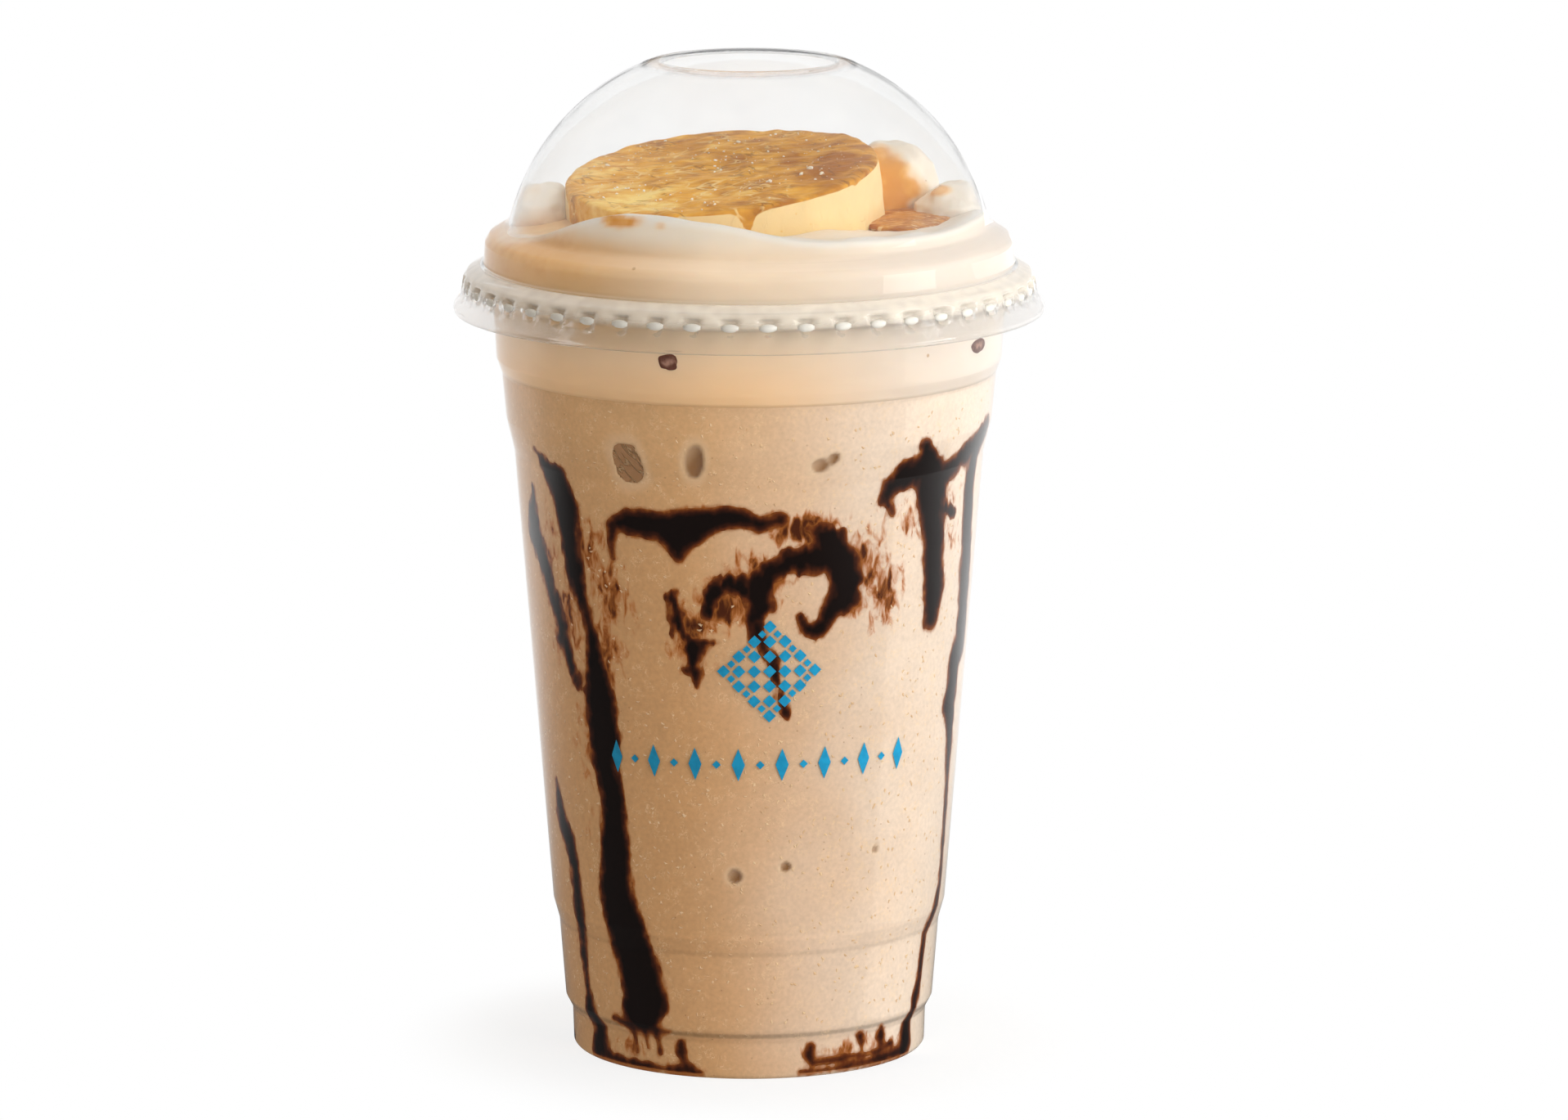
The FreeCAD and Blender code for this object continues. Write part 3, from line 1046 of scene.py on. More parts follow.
@dataclass
class DomedLid:
    """The clear domed lid: skirt with holding lugs, flange, shoulder, dome and straw hole."""

    skirt: tuple[tuple[float, float], ...] = (
        (51.5, 131.0), (51.7, 131.8), (50.3, 134.2), (49.9, 136.9), (49.2, 137.9)
    )
    shoulder: tuple[tuple[float, float], ...] = (
        (46.6, 139.3), (46.3, 139.7), (46.1, 143.0), (45.3, 144.3), (43.4, 145.4)
    )
    dome_centre: tuple[float, float] = (2.904, 137.034)
    dome_radius: float = 40.12
    dome_from: float = 12.94
    dome_to: float = 69.04
    dome_steps: int = 52
    lip_points: int = 5
    hole: tuple[tuple[float, float], ...] = ((15.3, 174.8), (15.2, 173.8))
    wall: float = 0.5
    corner: float = 0.7
    columns: int = 432
    lugs: int = 48
    lug_depth: float = 1.15
    lug_foot: float = 132.6
    lug_head: float = 136.6
    band: tuple[tuple[float, float], ...] = ((50.0, 134.7), (49.65, 136.9), (49.05, 137.7), (46.9, 138.9))
    # Where the whitish beads sit that paint highlights on the lugs' heads.
    bead_ring: float = 49.6
    bead_height: float = 135.35
    bead_half: tuple[float, float, float] = (0.5, 1.7, 0.72)

    def dome(self) -> Line:
        """Draws the dome's arc from its foot to the straw hole."""
        angles = np.radians(np.linspace(self.dome_from, self.dome_to, self.dome_steps + 1))
        (ring, height), radius = self.dome_centre, self.dome_radius
        return [(ring + radius * math.cos(a), height + radius * math.sin(a)) for a in angles]

    def formed(self, line: Line) -> Line:
        """Rounds a side's corners below and above the dome, and leaves the dome's arc as it is."""
        first = len(self.skirt) + len(self.shoulder)
        last = first + self.dome_steps
        low, high = rounded(line[: first + 1], self.corner, 3), rounded(line[last:], self.corner, 3)
        return [*low, *line[first + 1 : last], *high]

    def sides(self) -> tuple[Line, Line]:
        """Draws the outside and the inside, both from the lip up."""
        outer = [*self.skirt, *self.shoulder, *self.dome(), *self.hole]
        return self.formed(outer), self.formed(inset(outer, self.wall))

    def inside(self, height: Array) -> Array:
        """Gives the inner radius of the shoulder and the dome at heights."""
        inner = [p for p in self.sides()[1] if p[1] > self.shoulder[0][1] - 0.5]
        above = np.array(inner[: -self.lip_points])
        return np.interp(height, above[:, 1], above[:, 0])

    def lug_recipe(self, finish: "ClearSheet | FrostedSheenBand") -> Recipe:
        """Draws the rule that presses the lugs into the skirt.

        Args:
            finish: The finish of what is pressed.

        Returns:
            The geometry node tree.
        """
        sizes = {
            "Lug Count": float(self.lugs),
            "Lug Depth": self.lug_depth * MM,
            "Lug Foot": self.lug_foot * MM,
            "Lug Head": self.lug_head * MM,
            "Lug Width": 0.62,
        }
        recipe = Recipe("skirt_lugs", sizes)
        x, y, z = recipe.parts(recipe.out("GeometryNodeInputPosition"))
        turn = x.math("ARCTAN2", y, x) * recipe.size("Lug Count") / math.tau
        across = (turn.math("FRACT", turn) - 0.5).size() * 2.0
        foot, head = recipe.size("Lug Foot"), recipe.size("Lug Head")
        rise = (z - foot) / (head - foot)
        width = rise * recipe.size("Lug Width")
        pressed = (width - across).eased(0.0, 0.2) * rise.eased(1.16, 0.98) * rise.eased(0.0, 0.25)
        outward = recipe.out("ShaderNodeVectorMath", {0: recipe.joined(x, y, 0.0)}, operation="NORMALIZE")
        offset = recipe.scaled(outward, pressed * recipe.size("Lug Depth") * -1.0)
        whole = recipe.given.outputs["Geometry"]
        moved = recipe.out("GeometryNodeSetPosition", {"Geometry": whole, "Offset": offset})
        recipe.finish(moved, finish.material())
        return recipe

    def highlight_bead_recipe(self, finish: GrainFinish) -> Recipe:
        """Draws the rule that sets a whitish bead, a painted highlight, in the head of each lug.

        Args:
            finish: The beads' finish.

        Returns:
            The geometry node tree.
        """
        sizes = {
            "Lug Count": self.lugs,
            "Ring Radius": self.bead_ring * MM,
            "Bead Height": self.bead_height * MM,
        }
        recipe = Recipe("lug_beads", sizes)
        line = [(math.cos(math.radians(a)), math.sin(math.radians(a))) for a in (-60.0, -25.0, 25.0, 60.0)]
        ball = turned([(0.0, -1.0), *line, (0.0, 1.0)], np.linspace(-180.0, 180.0, 10, endpoint=False))
        ball.points *= np.array(self.bead_half)
        ring = recipe.out("GeometryNodeMeshCircle", {"Vertices": recipe.size("Lug Count")})
        turn = (recipe.value("GeometryNodeInputIndex") + 0.5) * math.tau / recipe.size("Lug Count")
        radius = recipe.size("Ring Radius")
        x, y = turn.math("COSINE", turn) * radius, turn.math("SINE", turn) * radius
        seat = recipe.joined(x, y, recipe.size("Bead Height"))
        seats = recipe.out("GeometryNodeSetPosition", {"Geometry": ring, "Position": seat})
        spin = recipe.out("FunctionNodeEulerToRotation", {0: recipe.joined(0.0, 0.0, turn)})
        beads = recipe.copies("bead_shape", ball.mesh("bead", None), {"Points": seats, "Rotation": spin})
        recipe.finish(beads, finish.material())
        return recipe

    def build(self, finish: ClearSheet, bead_highlight: GrainFinish) -> None:
        """Makes the lid, the whitish beads that paint highlights on the heads of its lugs, and the band with
        its painted sheen.
        """
        outer, inner = self.sides()
        top = self.skirt[-1][1]
        outline = [*outer, *reversed(inner)]
        fine = []
        for here, then in zip(outline, [*outline[1:], outline[0]]):
            low = max(here[1], then[1]) < top
            fine += divided([here, then], 0.45 if low else 3.0)[:-1]
        azimuths = np.linspace(-180.0, 180.0, self.columns, endpoint=False)
        plain = turned(fine, azimuths, ring=True).mesh("lid_turned", None)
        place_piece(self.lug_recipe(finish).made_from(plain, "domed_lid"), ("dome_lid",))
        nothing = Surface(np.zeros((1, 3)), []).mesh("bead_start", None)
        place_piece(self.highlight_bead_recipe(bead_highlight).made_from(nothing, "lug_beads"))
        # The whitish band over the skirt, partly a painted sheen.
        line = divided([*self.band, *reversed(inset(list(self.band), 0.06))], 0.5)
        band = turned(line, azimuths, ring=True).mesh("band_turned", None)
        place_piece(self.lug_recipe(FrostedSheenBand()).made_from(band, "frosted_band"))


# ---------------------------------------------------------------- syrup


class Run(NamedTuple):
    """One run of syrup down the wall: azimuth, height and width along it, and how ragged its edges are."""

    points: tuple[tuple[float, float, float], ...]
    ragged: float = 0.15


class Smear(NamedTuple):
    """A patch where syrup was wiped thin: azimuth, height, half width, half height and strength."""

    azimuth: float
    height: float
    half_width: float
    half_height: float
    strength: float


FRONT_RUNS = (
    # the long run at the left, down to the ledge
    Run((
        (-63, 109.5, 1.5), (-60, 107.5, 3.5), (-54, 104.5, 6), (-51.5, 100.5, 7), (-51, 96, 6),
        (-50.5, 92, 5), (-49.3, 87, 4.6), (-46.5, 82.5, 3.2), (-45, 78, 3.6), (-44, 73, 5), (-43, 67, 6.8),
        (-42.5, 62, 8), (-43.5, 56, 6.5), (-41, 50, 5.6), (-41, 42, 6.5), (-42, 33, 8), (-40, 28.5, 8.6),
        (-36, 20, 9), (-34, 13, 9.2), (-35.5, 11.4, 9),
    ), 0.35),
    Run(((-47, 8.9, 1.2), (-37, 8.4, 2), (-26, 8, 0.9)), 0.2),
    Run(((-39.5, 7.4, 1), (-38.8, 3.4, 0.7)), 0.1),
    Run(((-35.2, 7.4, 0.9), (-34.6, 4.4, 0.6)), 0.1),
    Run(((-31, 7.4, 1.3), (-30.6, 5.6, 0.6), (-29.8, 3.8, 0.7)), 0.1),
    Run(((-22.6, 6.4, 0.9), (-22.3, 4.3, 2), (-21.3, 2.6, 1.3), (-20.6, 1.4, 3)), 0.2),
    Run(((-27, 1, 1.8), (-20.5, 1.2, 2.8), (-15.5, 0.9, 1.2)), 0.2),
    # a thin run that comes down from the far left and joins it
    Run((
        (-67.5, 101.5, 1.5), (-68.5, 98, 4.5), (-68.5, 94, 6.5), (-65, 90.5, 4.6), (-61, 84, 3.9),
        (-58, 80, 3.5), (-56, 75, 3.8), (-53, 71, 3.4), (-50, 68, 1.5),
    ), 0.6),
    # the bar at the middle, with its hanging drops
    Run((
        (-36, 98.6, 2.2), (-31, 99.4, 4.7), (-22.6, 99.1, 5.4), (-17.5, 98.4, 8), (-14.8, 99, 7.2),
        (-12.7, 99.7, 6), (-7.3, 100.8, 4.6), (-2.3, 101.2, 4), (2.6, 99.9, 2.9), (7.6, 100.7, 3),
    ), 0.1),
    Run(((-17.7, 97.5, 5), (-17.7, 94.2, 2.6)), 0.1),
    Run(((-35.6, 98.5, 2.4), (-36.2, 95.5, 1.8), (-36, 92.8, 1.2)), 0.1),
    # the ring that opens to the left
    Run(((14.5, 99.6, 0.9), (18, 98.9, 2.6), (21, 97.5, 3)), 1.0),
    Run((
        (17.5, 98.2, 3.6), (20.9, 95, 6.2), (24, 92.3, 6.8), (25.4, 89.5, 6.2), (24.6, 86.6, 5.2),
        (20, 83.2, 3.4), (17.5, 80.7, 2.8), (14.2, 81.2, 2), (13.1, 83.4, 1.4),
    ), 0.45),
    Run((
        (21, 94, 5.2), (15.3, 93.8, 4.8), (10, 93.3, 4.6), (5, 91.4, 4.6), (2.6, 88.6, 6.4),
        (2.6, 85.8, 5.2), (1.5, 83, 3.4), (3.5, 78.5, 2.6), (7, 73, 2.2), (9.5, 66.5, 2.2),
    ), 0.6),
    Run(((-0.5, 88, 3), (-6, 89.6, 3.6), (-9.5, 87, 3), (-10.6, 84.5, 2.3)), 0.9),
    # the short run beside it
    Run((
        (-19.1, 86.1, 2.6), (-18.5, 83.3, 3), (-17.1, 80.4, 3), (-14.4, 77.3, 3.6), (-14.6, 74.2, 2.4),
        (-13.8, 71, 0.9),
    ), 0.8),
    Run(((-14.4, 78.8, 1.3), (-8.7, 78.9, 1)), 0.4),
    # the blot at the right, with its arms and its long drop
    Run((
        (46.3, 111.5, 3.2), (48.3, 109, 5.4), (50, 106, 8.4), (51, 102.5, 9), (51.2, 99, 7),
        (53, 94.3, 6.4), (53.5, 91, 6.4), (54.5, 86, 6), (54, 80.3, 4.6), (54, 79.2, 2.4),
    ), 0.2),
    Run(((47, 107.6, 5.4), (41, 106.6, 5), (36.5, 105, 3.6), (35.5, 102.8, 2.6), (37.5, 100.5, 2)), 0.35),
    Run(((54.6, 105.1, 4.5), (62.3, 107.9, 4.6), (72, 109.3, 5.4), (78, 111.5, 4.5)), 0.3),
    Run(((54.7, 99.9, 3.6), (61, 98.4, 3)), 0.7),
    # the long run at the far right
    Run((
        (72, 108, 5), (70.5, 101, 5.6), (72, 93, 6.1), (73, 85.5, 6.4), (74.5, 79, 6.4), (74.5, 74, 6.4),
        (70, 71, 5.8), (70, 67, 6.2), (69, 63, 5.4), (71, 59.5, 4.3), (72.3, 50, 2), (74, 39, 2.1),
        (74, 30, 2.1), (71.5, 26, 2.2), (67, 22, 1.9), (65.7, 14, 1.9), (63.9, 10.6, 3.2), (63.4, 8.4, 2.2),
        (62.5, 6, 3.7), (62.5, 3, 4.3), (61, 1.2, 3.4),
    ), 0.2),
    # the run at the far left
    Run((
        (-67.8, 49.5, 1.6), (-66, 43.7, 4.8), (-62.3, 39.8, 4.3), (-59.7, 34.8, 3.4), (-59.3, 27, 3.5),
        (-60.5, 21.5, 3.4), (-60, 14, 1.7), (-59.5, 9.3, 3.6), (-57, 6, 4.1), (-57.5, 2.5, 5),
    ), 0.3),
    # blots round the foot
    Run(((-61, 1.4, 2.2), (-48, 1.2, 1.8), (-36, 1.1, 1.5), (-24, 1, 0.8)), 0.2),
    Run(((17, 0.9, 0.8), (30, 1.1, 1.5), (45, 1.3, 1.8), (60, 1.5, 2.2)), 0.2),
    Run(((20.4, 5.4, 1.4), (19.6, 4, 1.8), (21, 2.4, 1.2), (26, 2.6, 2.2), (31.5, 2.5, 1.6)), 0.2),
    Run(((38.6, 6.1, 2.2), (38.9, 5.2, 2), (39.6, 3.6, 0.8)), 0.15),
    Run(((47.4, 7.2, 1.5), (47.8, 5.4, 2), (48.4, 3.8, 1.3)), 0.15),
    Run(((33, 3, 0.9), (39.5, 2.6, 1.2), (47, 2.7, 0.9), (53, 3.6, 1.6)), 0.25),
)

BACK_RUNS = (
    Run((
        (-98, 112, 2.4), (-99, 106, 5.4), (-96, 98, 6), (-97, 88, 4.2), (-100, 74, 5.2), (-101, 60, 6),
        (-98, 47, 4.2), (-99, 30, 5.6), (-97, 14, 6.4), (-96, 7, 7.5), (-95, 2, 3),
    ), 0.35),
    Run(((-99, 104, 3.6), (-108, 101, 3.4), (-116, 102, 3), (-124, 99.5, 4.6), (-125, 93, 3)), 0.2),
    Run(((-142, 96, 2.2), (-141, 90, 5), (-138, 82, 6), (-139, 72, 4), (-141, 66, 2.4)), 0.3),
    Run((
        (-133, 58, 1.6), (-131, 46, 3.2), (-130, 34, 2.6), (-131, 20, 4), (-130, 9, 5), (-130, 2, 3.4),
    ), 0.3),
    Run(((104, 111, 2.6), (103, 104, 5.2), (105, 95, 7), (106, 84, 5), (104, 70, 3.2), (103, 58, 2)), 0.2),
    Run((
        (105, 101, 3.8), (113, 103.5, 3.6), (122, 101, 4.2), (130, 102.5, 4.4), (134, 98, 5.6),
        (135, 90, 5), (134, 83, 3.2),
    ), 0.2),
    Run((
        (150, 92, 1.8), (152, 84, 4.2), (149, 74, 5.4), (148, 60, 4.2), (150, 44, 6.2), (149, 30, 7.4),
        (151, 16, 6), (151, 7, 7), (152, 2, 3.4),
    ), 0.35),
    Run(((166, 106, 1.6), (165, 100, 4), (163, 95, 4.4), (158, 92.5, 3)), 0.4),
    Run(((118, 40, 1.6), (117, 28, 3), (118, 15, 2.4), (117, 7, 4.2), (118, 2, 3)), 0.3),
    Run(((90, 1.3, 1.6), (112, 1.4, 2.4), (140, 1.4, 2), (165, 1.2, 1.2)), 0.4),
    Run(((-170, 1.1, 1), (-148, 1.4, 2.2), (-120, 1.4, 1.8), (-84, 1.3, 2)), 0.4),
)

SMEARS = tuple(
    Smear(*row)
    for row in (
        (-43.5, 93, 4.5, 9, 0.82), (-38, 85, 6.6, 11, 0.84), (-41, 75, 6, 10, 0.86),
        (-46.5, 60, 7.5, 16, 0.62), (-55, 79, 6.5, 11, 0.84), (-60, 92, 5, 10, 0.66),
        (-47, 44, 5, 14, 0.42), (-36, 22, 6, 12, 0.35), (-6.5, 85.5, 7.5, 6.5, 0.95),
        (-15, 80, 6.5, 9, 0.84), (3, 91, 10, 6, 0.8), (14, 98.8, 9, 4.2, 1.05), (31, 92, 7.5, 9, 0.8),
        (36.5, 86.5, 6.5, 9, 0.82), (27, 86, 5, 6, 0.66), (44, 99, 5, 6, 0.7), (58, 101, 6.5, 6, 0.6),
        (62, 94, 4.5, 8, 0.45), (-62, 33, 4, 14, 0.4), (-42, 4, 9, 3.5, 0.55), (36, 4, 15, 3, 0.62),
        (56, 4, 6, 3.5, 0.55), (-98, 66, 6, 22, 0.5), (-138, 78, 6, 12, 0.5), (150, 52, 6, 20, 0.5),
        (108, 90, 7, 10, 0.5), (132, 92, 6, 9, 0.5), (130, 4, 22, 3, 0.55), (-125, 4, 24, 3, 0.5),
    )
)


@dataclass
class SyrupField:
    """How deep inside the syrup each place on the wall is, and how far it is stained."""

    cup: ClearCup
    runs: tuple[Run, ...] = (*FRONT_RUNS, *BACK_RUNS)
    smears: tuple[Smear, ...] = SMEARS
    blend: float = 1.1

    def unrolled(self, azimuth: Array, height: Array) -> tuple[Array, Array]:
        """Lays places on the wall out flat, in millimetres."""
        return np.radians(azimuth) * self.cup.inside(height), height

    def depth(self, azimuth: Array, height: Array) -> Array:
        """Measures how far inside the syrup's edge places are.

        Args:
            azimuth: Degrees, one row of places.
            height: Their heights.

        Returns:
            Millimetres, less than nought outside.
        """
        across, up = self.unrolled(azimuth, height)
        spots = around(azimuth, self.cup.inside(height), height)
        broad = Unevenness(4.5, 11).at(spots) * 0.45 + Unevenness(1.9, 12).at(spots) * 0.25
        tall = spots * np.array([1.0, 1.0, 0.45])
        fine = Unevenness(1.1, 13).at(tall) * 0.7 + Unevenness(0.6, 14).at(tall) * 0.5
        deepest = np.full(len(azimuth), -50.0)
        for run in self.runs:
            points = np.array(run.points, float)
            run_across, run_up = self.unrolled(points[:, 0], points[:, 1])
            mine = np.full(len(azimuth), -50.0)
            near = (np.abs(across - run_across.mean()) < np.ptp(run_across) / 2 + 16.0) & (
                np.abs(up - run_up.mean()) < np.ptp(run_up) / 2 + 16.0
            )
            for n in range(len(points) - 1):
                dx, dz = run_across[n + 1] - run_across[n], run_up[n + 1] - run_up[n]
                off_x, off_z = across[near] - run_across[n], up[near] - run_up[n]
                along = np.clip((off_x * dx + off_z * dz) / (dx * dx + dz * dz), 0.0, 1.0)
                gap = np.hypot(off_x - along * dx, off_z - along * dz)
                half = (points[n, 2] * (1 - along) + points[n + 1, 2] * along) / 2
                mine[near] = np.maximum(mine[near], half - gap)
            mine = mine + fine * run.ragged * 1.6
            lift = np.clip(self.blend - np.abs(mine - deepest), 0.0, None) / self.blend
            deepest = np.maximum(mine, deepest) + lift * lift * self.blend * 0.25
        return deepest + broad

    def stain(self, azimuth: Array, height: Array, depth: Array) -> Array:
        """Measures how stained the drink is beside the syrup.

        Args:
            azimuth: Degrees, one row of places.
            height: Their heights.
            depth: The depth there.

        Returns:
            0 where clean, towards 1 beside thick syrup.
        """
        across, up = self.unrolled(azimuth, height)
        stained = smooth_step(-1.6, 0.2, depth) * 0.45
        for smear in self.smears:
            middle, level = self.unrolled(np.array([smear.azimuth]), np.array([smear.height]))
            beside, above = (across - middle[0]) / smear.half_width, (up - level[0]) / smear.half_height
            reach = beside**2 + above**2
            stained = np.maximum(stained, smear.strength * np.exp(-1.4 * reach))
        return stained


@dataclass
class SyrupFilm:
    """The thick syrup itself: a thin closed film pressed against the inside of the wall."""

    syrup: SyrupField
    low: float = 0.7
    high: float = 115.0
    step: float = 0.36
    columns: int = 700
    seat: float = 0.27
    swell: float = 0.05
    thickness: float = 0.8

    def build(self, finish: SyrupFinish) -> None:
        """Makes the film."""
        heights = np.arange(self.low, self.high, self.step)
        azimuths = np.linspace(-179.9, 179.9, self.columns)
        wide, tall = np.meshgrid(azimuths, heights)
        depth = self.syrup.depth(wide.ravel(), tall.ravel()).reshape(wide.shape)
        depth[[0, -1], :] = np.minimum(depth[[0, -1], :], -0.1)
        depth[:, [0, -1]] = np.minimum(depth[:, [0, -1]], -0.1)
        cut = cut_grid(depth)
        height, azimuth, inside = cut.read(depth, heights, azimuths)
        wall = self.syrup.cup.inside(height)
        front = around(azimuth, wall + self.seat + self.swell * (1 - np.exp(-inside / 0.4)), height)
        back = around(azimuth, wall + self.seat - self.thickness * (1 - np.exp(-inside / 0.9)), height)
        film = closed_film(cut, front, back, {"depth": inside})
        place_piece(film.mesh("syrup_film", finish.material()))


# ---------------------------------------------------------------- the drink and what is sunk in it


class Hollow(NamedTuple):
    """A hollow at the wall: place, half sizes, depth, strength of its painted shade, lean in degrees and
    squareness.
    """

    azimuth: float
    height: float
    half_width: float
    half_height: float
    depth: float
    dark: float = 0.8
    lean: float = 0.0
    square: float = 2.0


ICE_HOLLOW = Hollow(-30.0, 110.0, 2.6, 3.4, 1.7, 0.34, 12.0, 3.2)
AMBER_HOLLOW = Hollow(-13.0, 111.0, 1.7, 3.0, 1.0, 1.0, -8.0)
LOBE_HOLLOWS = (
    Hollow(17.0, 110.1, 1.7, 1.35, 1.1, 0.7, 15.0), Hollow(20.0, 111.1, 1.3, 1.0, 0.8, 0.75, 40.0),
)
BUBBLE_HOLLOWS = (
    Hollow(-4.1, 37.1, 1.25, 1.25, 0.9, 0.85), Hollow(10.2, 38.8, 0.95, 0.95, 0.7, 0.85),
    Hollow(37.9, 40.4, 0.7, 0.8, 0.6, 0.5),
)
BACK_HOLLOWS = (
    Hollow(-118.0, 108.0, 2.0, 2.6, 1.5, 0.34, 20.0, 2.6), Hollow(128.0, 109.5, 1.6, 2.3, 1.4, 0.55, -15.0),
    Hollow(171.0, 61.0, 1.2, 1.2, 0.8, 0.85), Hollow(-155.0, 44.0, 0.9, 0.9, 0.6, 0.85),
)


@dataclass
class BlendedDrink:
    """The drink up to the cream, reaching just into the cup's wall, with the hollows left by ice and air."""

    cup: ClearCup
    syrup: SyrupField
    level: float = 121.0
    reach: float = 0.25
    step: float = 0.62
    fine_step: float = 0.36
    hollows: tuple[Hollow, ...] = (ICE_HOLLOW, AMBER_HOLLOW, *LOBE_HOLLOWS, *BUBBLE_HOLLOWS, *BACK_HOLLOWS)

    def azimuths(self) -> Array:
        """Spaces the columns, closer at the front."""
        front = np.arange(-37.0, 41.0, 0.6)
        rest = np.linspace(41.0, 323.0, 246, endpoint=False)
        return np.concatenate([front, rest])

    def outline(self) -> Line:
        """Draws the drink's outline, from the middle of the bottom to the middle of the top."""
        wall = inset(list(self.cup.rings), self.cup.wall - self.reach)
        line = [p for p in rounded(wall, self.cup.corner) if p[1] < self.level]
        line.append((float(self.cup.inside(self.level)) + self.reach, self.level))
        points = np.array(line)
        steps = np.hypot(*np.diff(points, axis=0).T)
        along = np.concatenate([[0.0], np.cumsum(steps)])
        made = [0.0]
        while made[-1] < along[-1]:
            radius = np.interp(made[-1], along, points[:, 0])
            height = np.interp(made[-1], along, points[:, 1])
            beside = any(abs(height - h.height) < h.half_height + 1.0 for h in self.hollows[:6])
            fine = beside or 6 < height < 9.5
            pace = 2.5 if radius < 26.0 else self.fine_step if fine or height < 1.0 else self.step
            made.append(made[-1] + pace)
        made[-1] = along[-1]
        side = list(zip(*(np.interp(made, along, column).tolist() for column in points.T)))
        rim = side[-1][0]
        return [*side, (rim * 0.95, self.level), (rim * 0.5, self.level), (0.0, self.level)]

    def hollowed(self, azimuth: Array, height: Array) -> tuple[Array, Array, Array]:
        """Measures the hollows.

        Args:
            azimuth: Degrees of the places on the wall.
            height: Their heights.

        Returns:
            How far in the drink lies, the painted shade on its wall there, and how pale it is round about.
        """
        sunk, dark, pale = (np.zeros(len(azimuth)) for _ in range(3))
        wobble = Unevenness(1.6, 31).at(around(azimuth, self.cup.inside(height), height)) * 0.12
        for hollow in self.hollows:
            turn = (azimuth - hollow.azimuth + 180.0) % 360.0 - 180.0
            across = np.radians(turn) * self.cup.inside(height)
            up = height - hollow.height
            lean = math.radians(hollow.lean)
            u = (across * math.cos(lean) + up * math.sin(lean)) / hollow.half_width
            v = (up * math.cos(lean) - across * math.sin(lean)) / hollow.half_height
            power = hollow.square
            far = (np.abs(u) ** power + np.abs(v) ** power) ** (1.0 / power) + wobble
            bowl = np.sqrt(np.clip(1.0 - np.clip(far, 0.0, 1.0) ** 2.4, 0.0, 1.0))
            sunk = np.maximum(sunk, bowl * hollow.depth)
            # Painted shade in the hollow, deeper on one side as though lit from the other.
            painted_shade = hollow.dark * (1.0 + 0.35 * np.clip(u - v, -1, 1))
            dark = np.maximum(dark, smooth_step(1.1, 0.75, far) * painted_shade)
            pale = np.maximum(pale, smooth_step(1.9, 1.15, far))
        return sunk, np.clip(dark, 0.0, 1.0), pale

    def build(self, finish: DrinkFinish) -> None:
        """Makes the drink."""
        made = turned(self.outline(), self.azimuths())
        x, y, height = made.points.T
        radius = np.hypot(x, y)
        azimuth = np.degrees(np.arctan2(x, -y))
        on_wall = radius > self.cup.inside(height) - 1.0
        sunk, dark, pale = self.hollowed(azimuth, height)
        sunk, dark = sunk * on_wall, dark * on_wall
        made.points[:, 0] -= x / np.maximum(radius, 1e-6) * sunk
        made.points[:, 1] -= y / np.maximum(radius, 1e-6) * sunk
        depth = self.syrup.depth(azimuth, height)
        made.values["stain"] = self.syrup.stain(azimuth, height, depth)
        made.values["fringe"] = smooth_step(-0.9, 0.25, depth) * on_wall
        made.values["hollow"] = dark
        made.values["halo"] = pale * on_wall
        place_piece(made.mesh("blended_drink", finish.material()), ("blended_drink",))


@dataclass
class SunkLump:
    """A rough lump held in the drink against the wall."""

    azimuth: float
    height: float
    half_width: float
    half_height: float
    half_depth: float
    lean: float
    seed: int
    square: float = 1.0
    rough: float = 0.16
    rings: int = 22
    columns: int = 32

    def surface(self, cup: ClearCup, seat: float, first: int) -> Surface:
        """Shapes the lump.

        Args:
            cup: The cup that it lies against.
            seat: How far past the wall's inside it may reach.
            first: The number that its points start from.

        Returns:
            The lump, carrying how near its middle each point is.
        """
        ball = unit_ball(self.rings, self.columns)
        unit = ball.points
        sides = np.sign(unit) * np.abs(unit) ** self.square
        bumps = Unevenness(0.8, self.seed).at(unit) + 0.5 * Unevenness(0.35, self.seed).at(unit)
        sides = sides * (1.0 + self.rough * bumps)[:, None]
        lean = math.radians(self.lean)
        across = (sides[:, 0] * math.cos(lean) - sides[:, 2] * math.sin(lean)) * self.half_width
        up = (sides[:, 0] * math.sin(lean) + sides[:, 2] * math.cos(lean)) * self.half_height
        height = self.height + up
        wall = cup.inside(height)
        radius = np.minimum(wall - 0.45 * self.half_depth - sides[:, 1] * self.half_depth, wall + seat)
        turn = self.azimuth + np.degrees(across / wall)
        heart = 1.0 - np.clip(np.hypot(sides[:, 0], sides[:, 2]), 0.0, 1.0)
        faces = [tuple(p + first for p in face) for face in ball.faces]
        return Surface(around(turn, radius, height), faces, {"heart": heart})


def lumps_together(lumps: list[SunkLump], cup: ClearCup, seat: float) -> Surface:
    """Shapes several lumps as one piece.

    Args:
        lumps: The lumps.
        cup: The cup that they lie against.
        seat: How far past the wall's inside they may reach.

    Returns:
        Their surfaces together.
    """
    made: list[Surface] = []
    count = 0
    for lump in lumps:
        made.append(lump.surface(cup, seat, count))
        count += len(made[-1].points)
    points = np.vstack([m.points for m in made])
    faces = [face for m in made for face in m.faces]
    return Surface(points, faces, {"heart": np.concatenate([m.values["heart"] for m in made])})


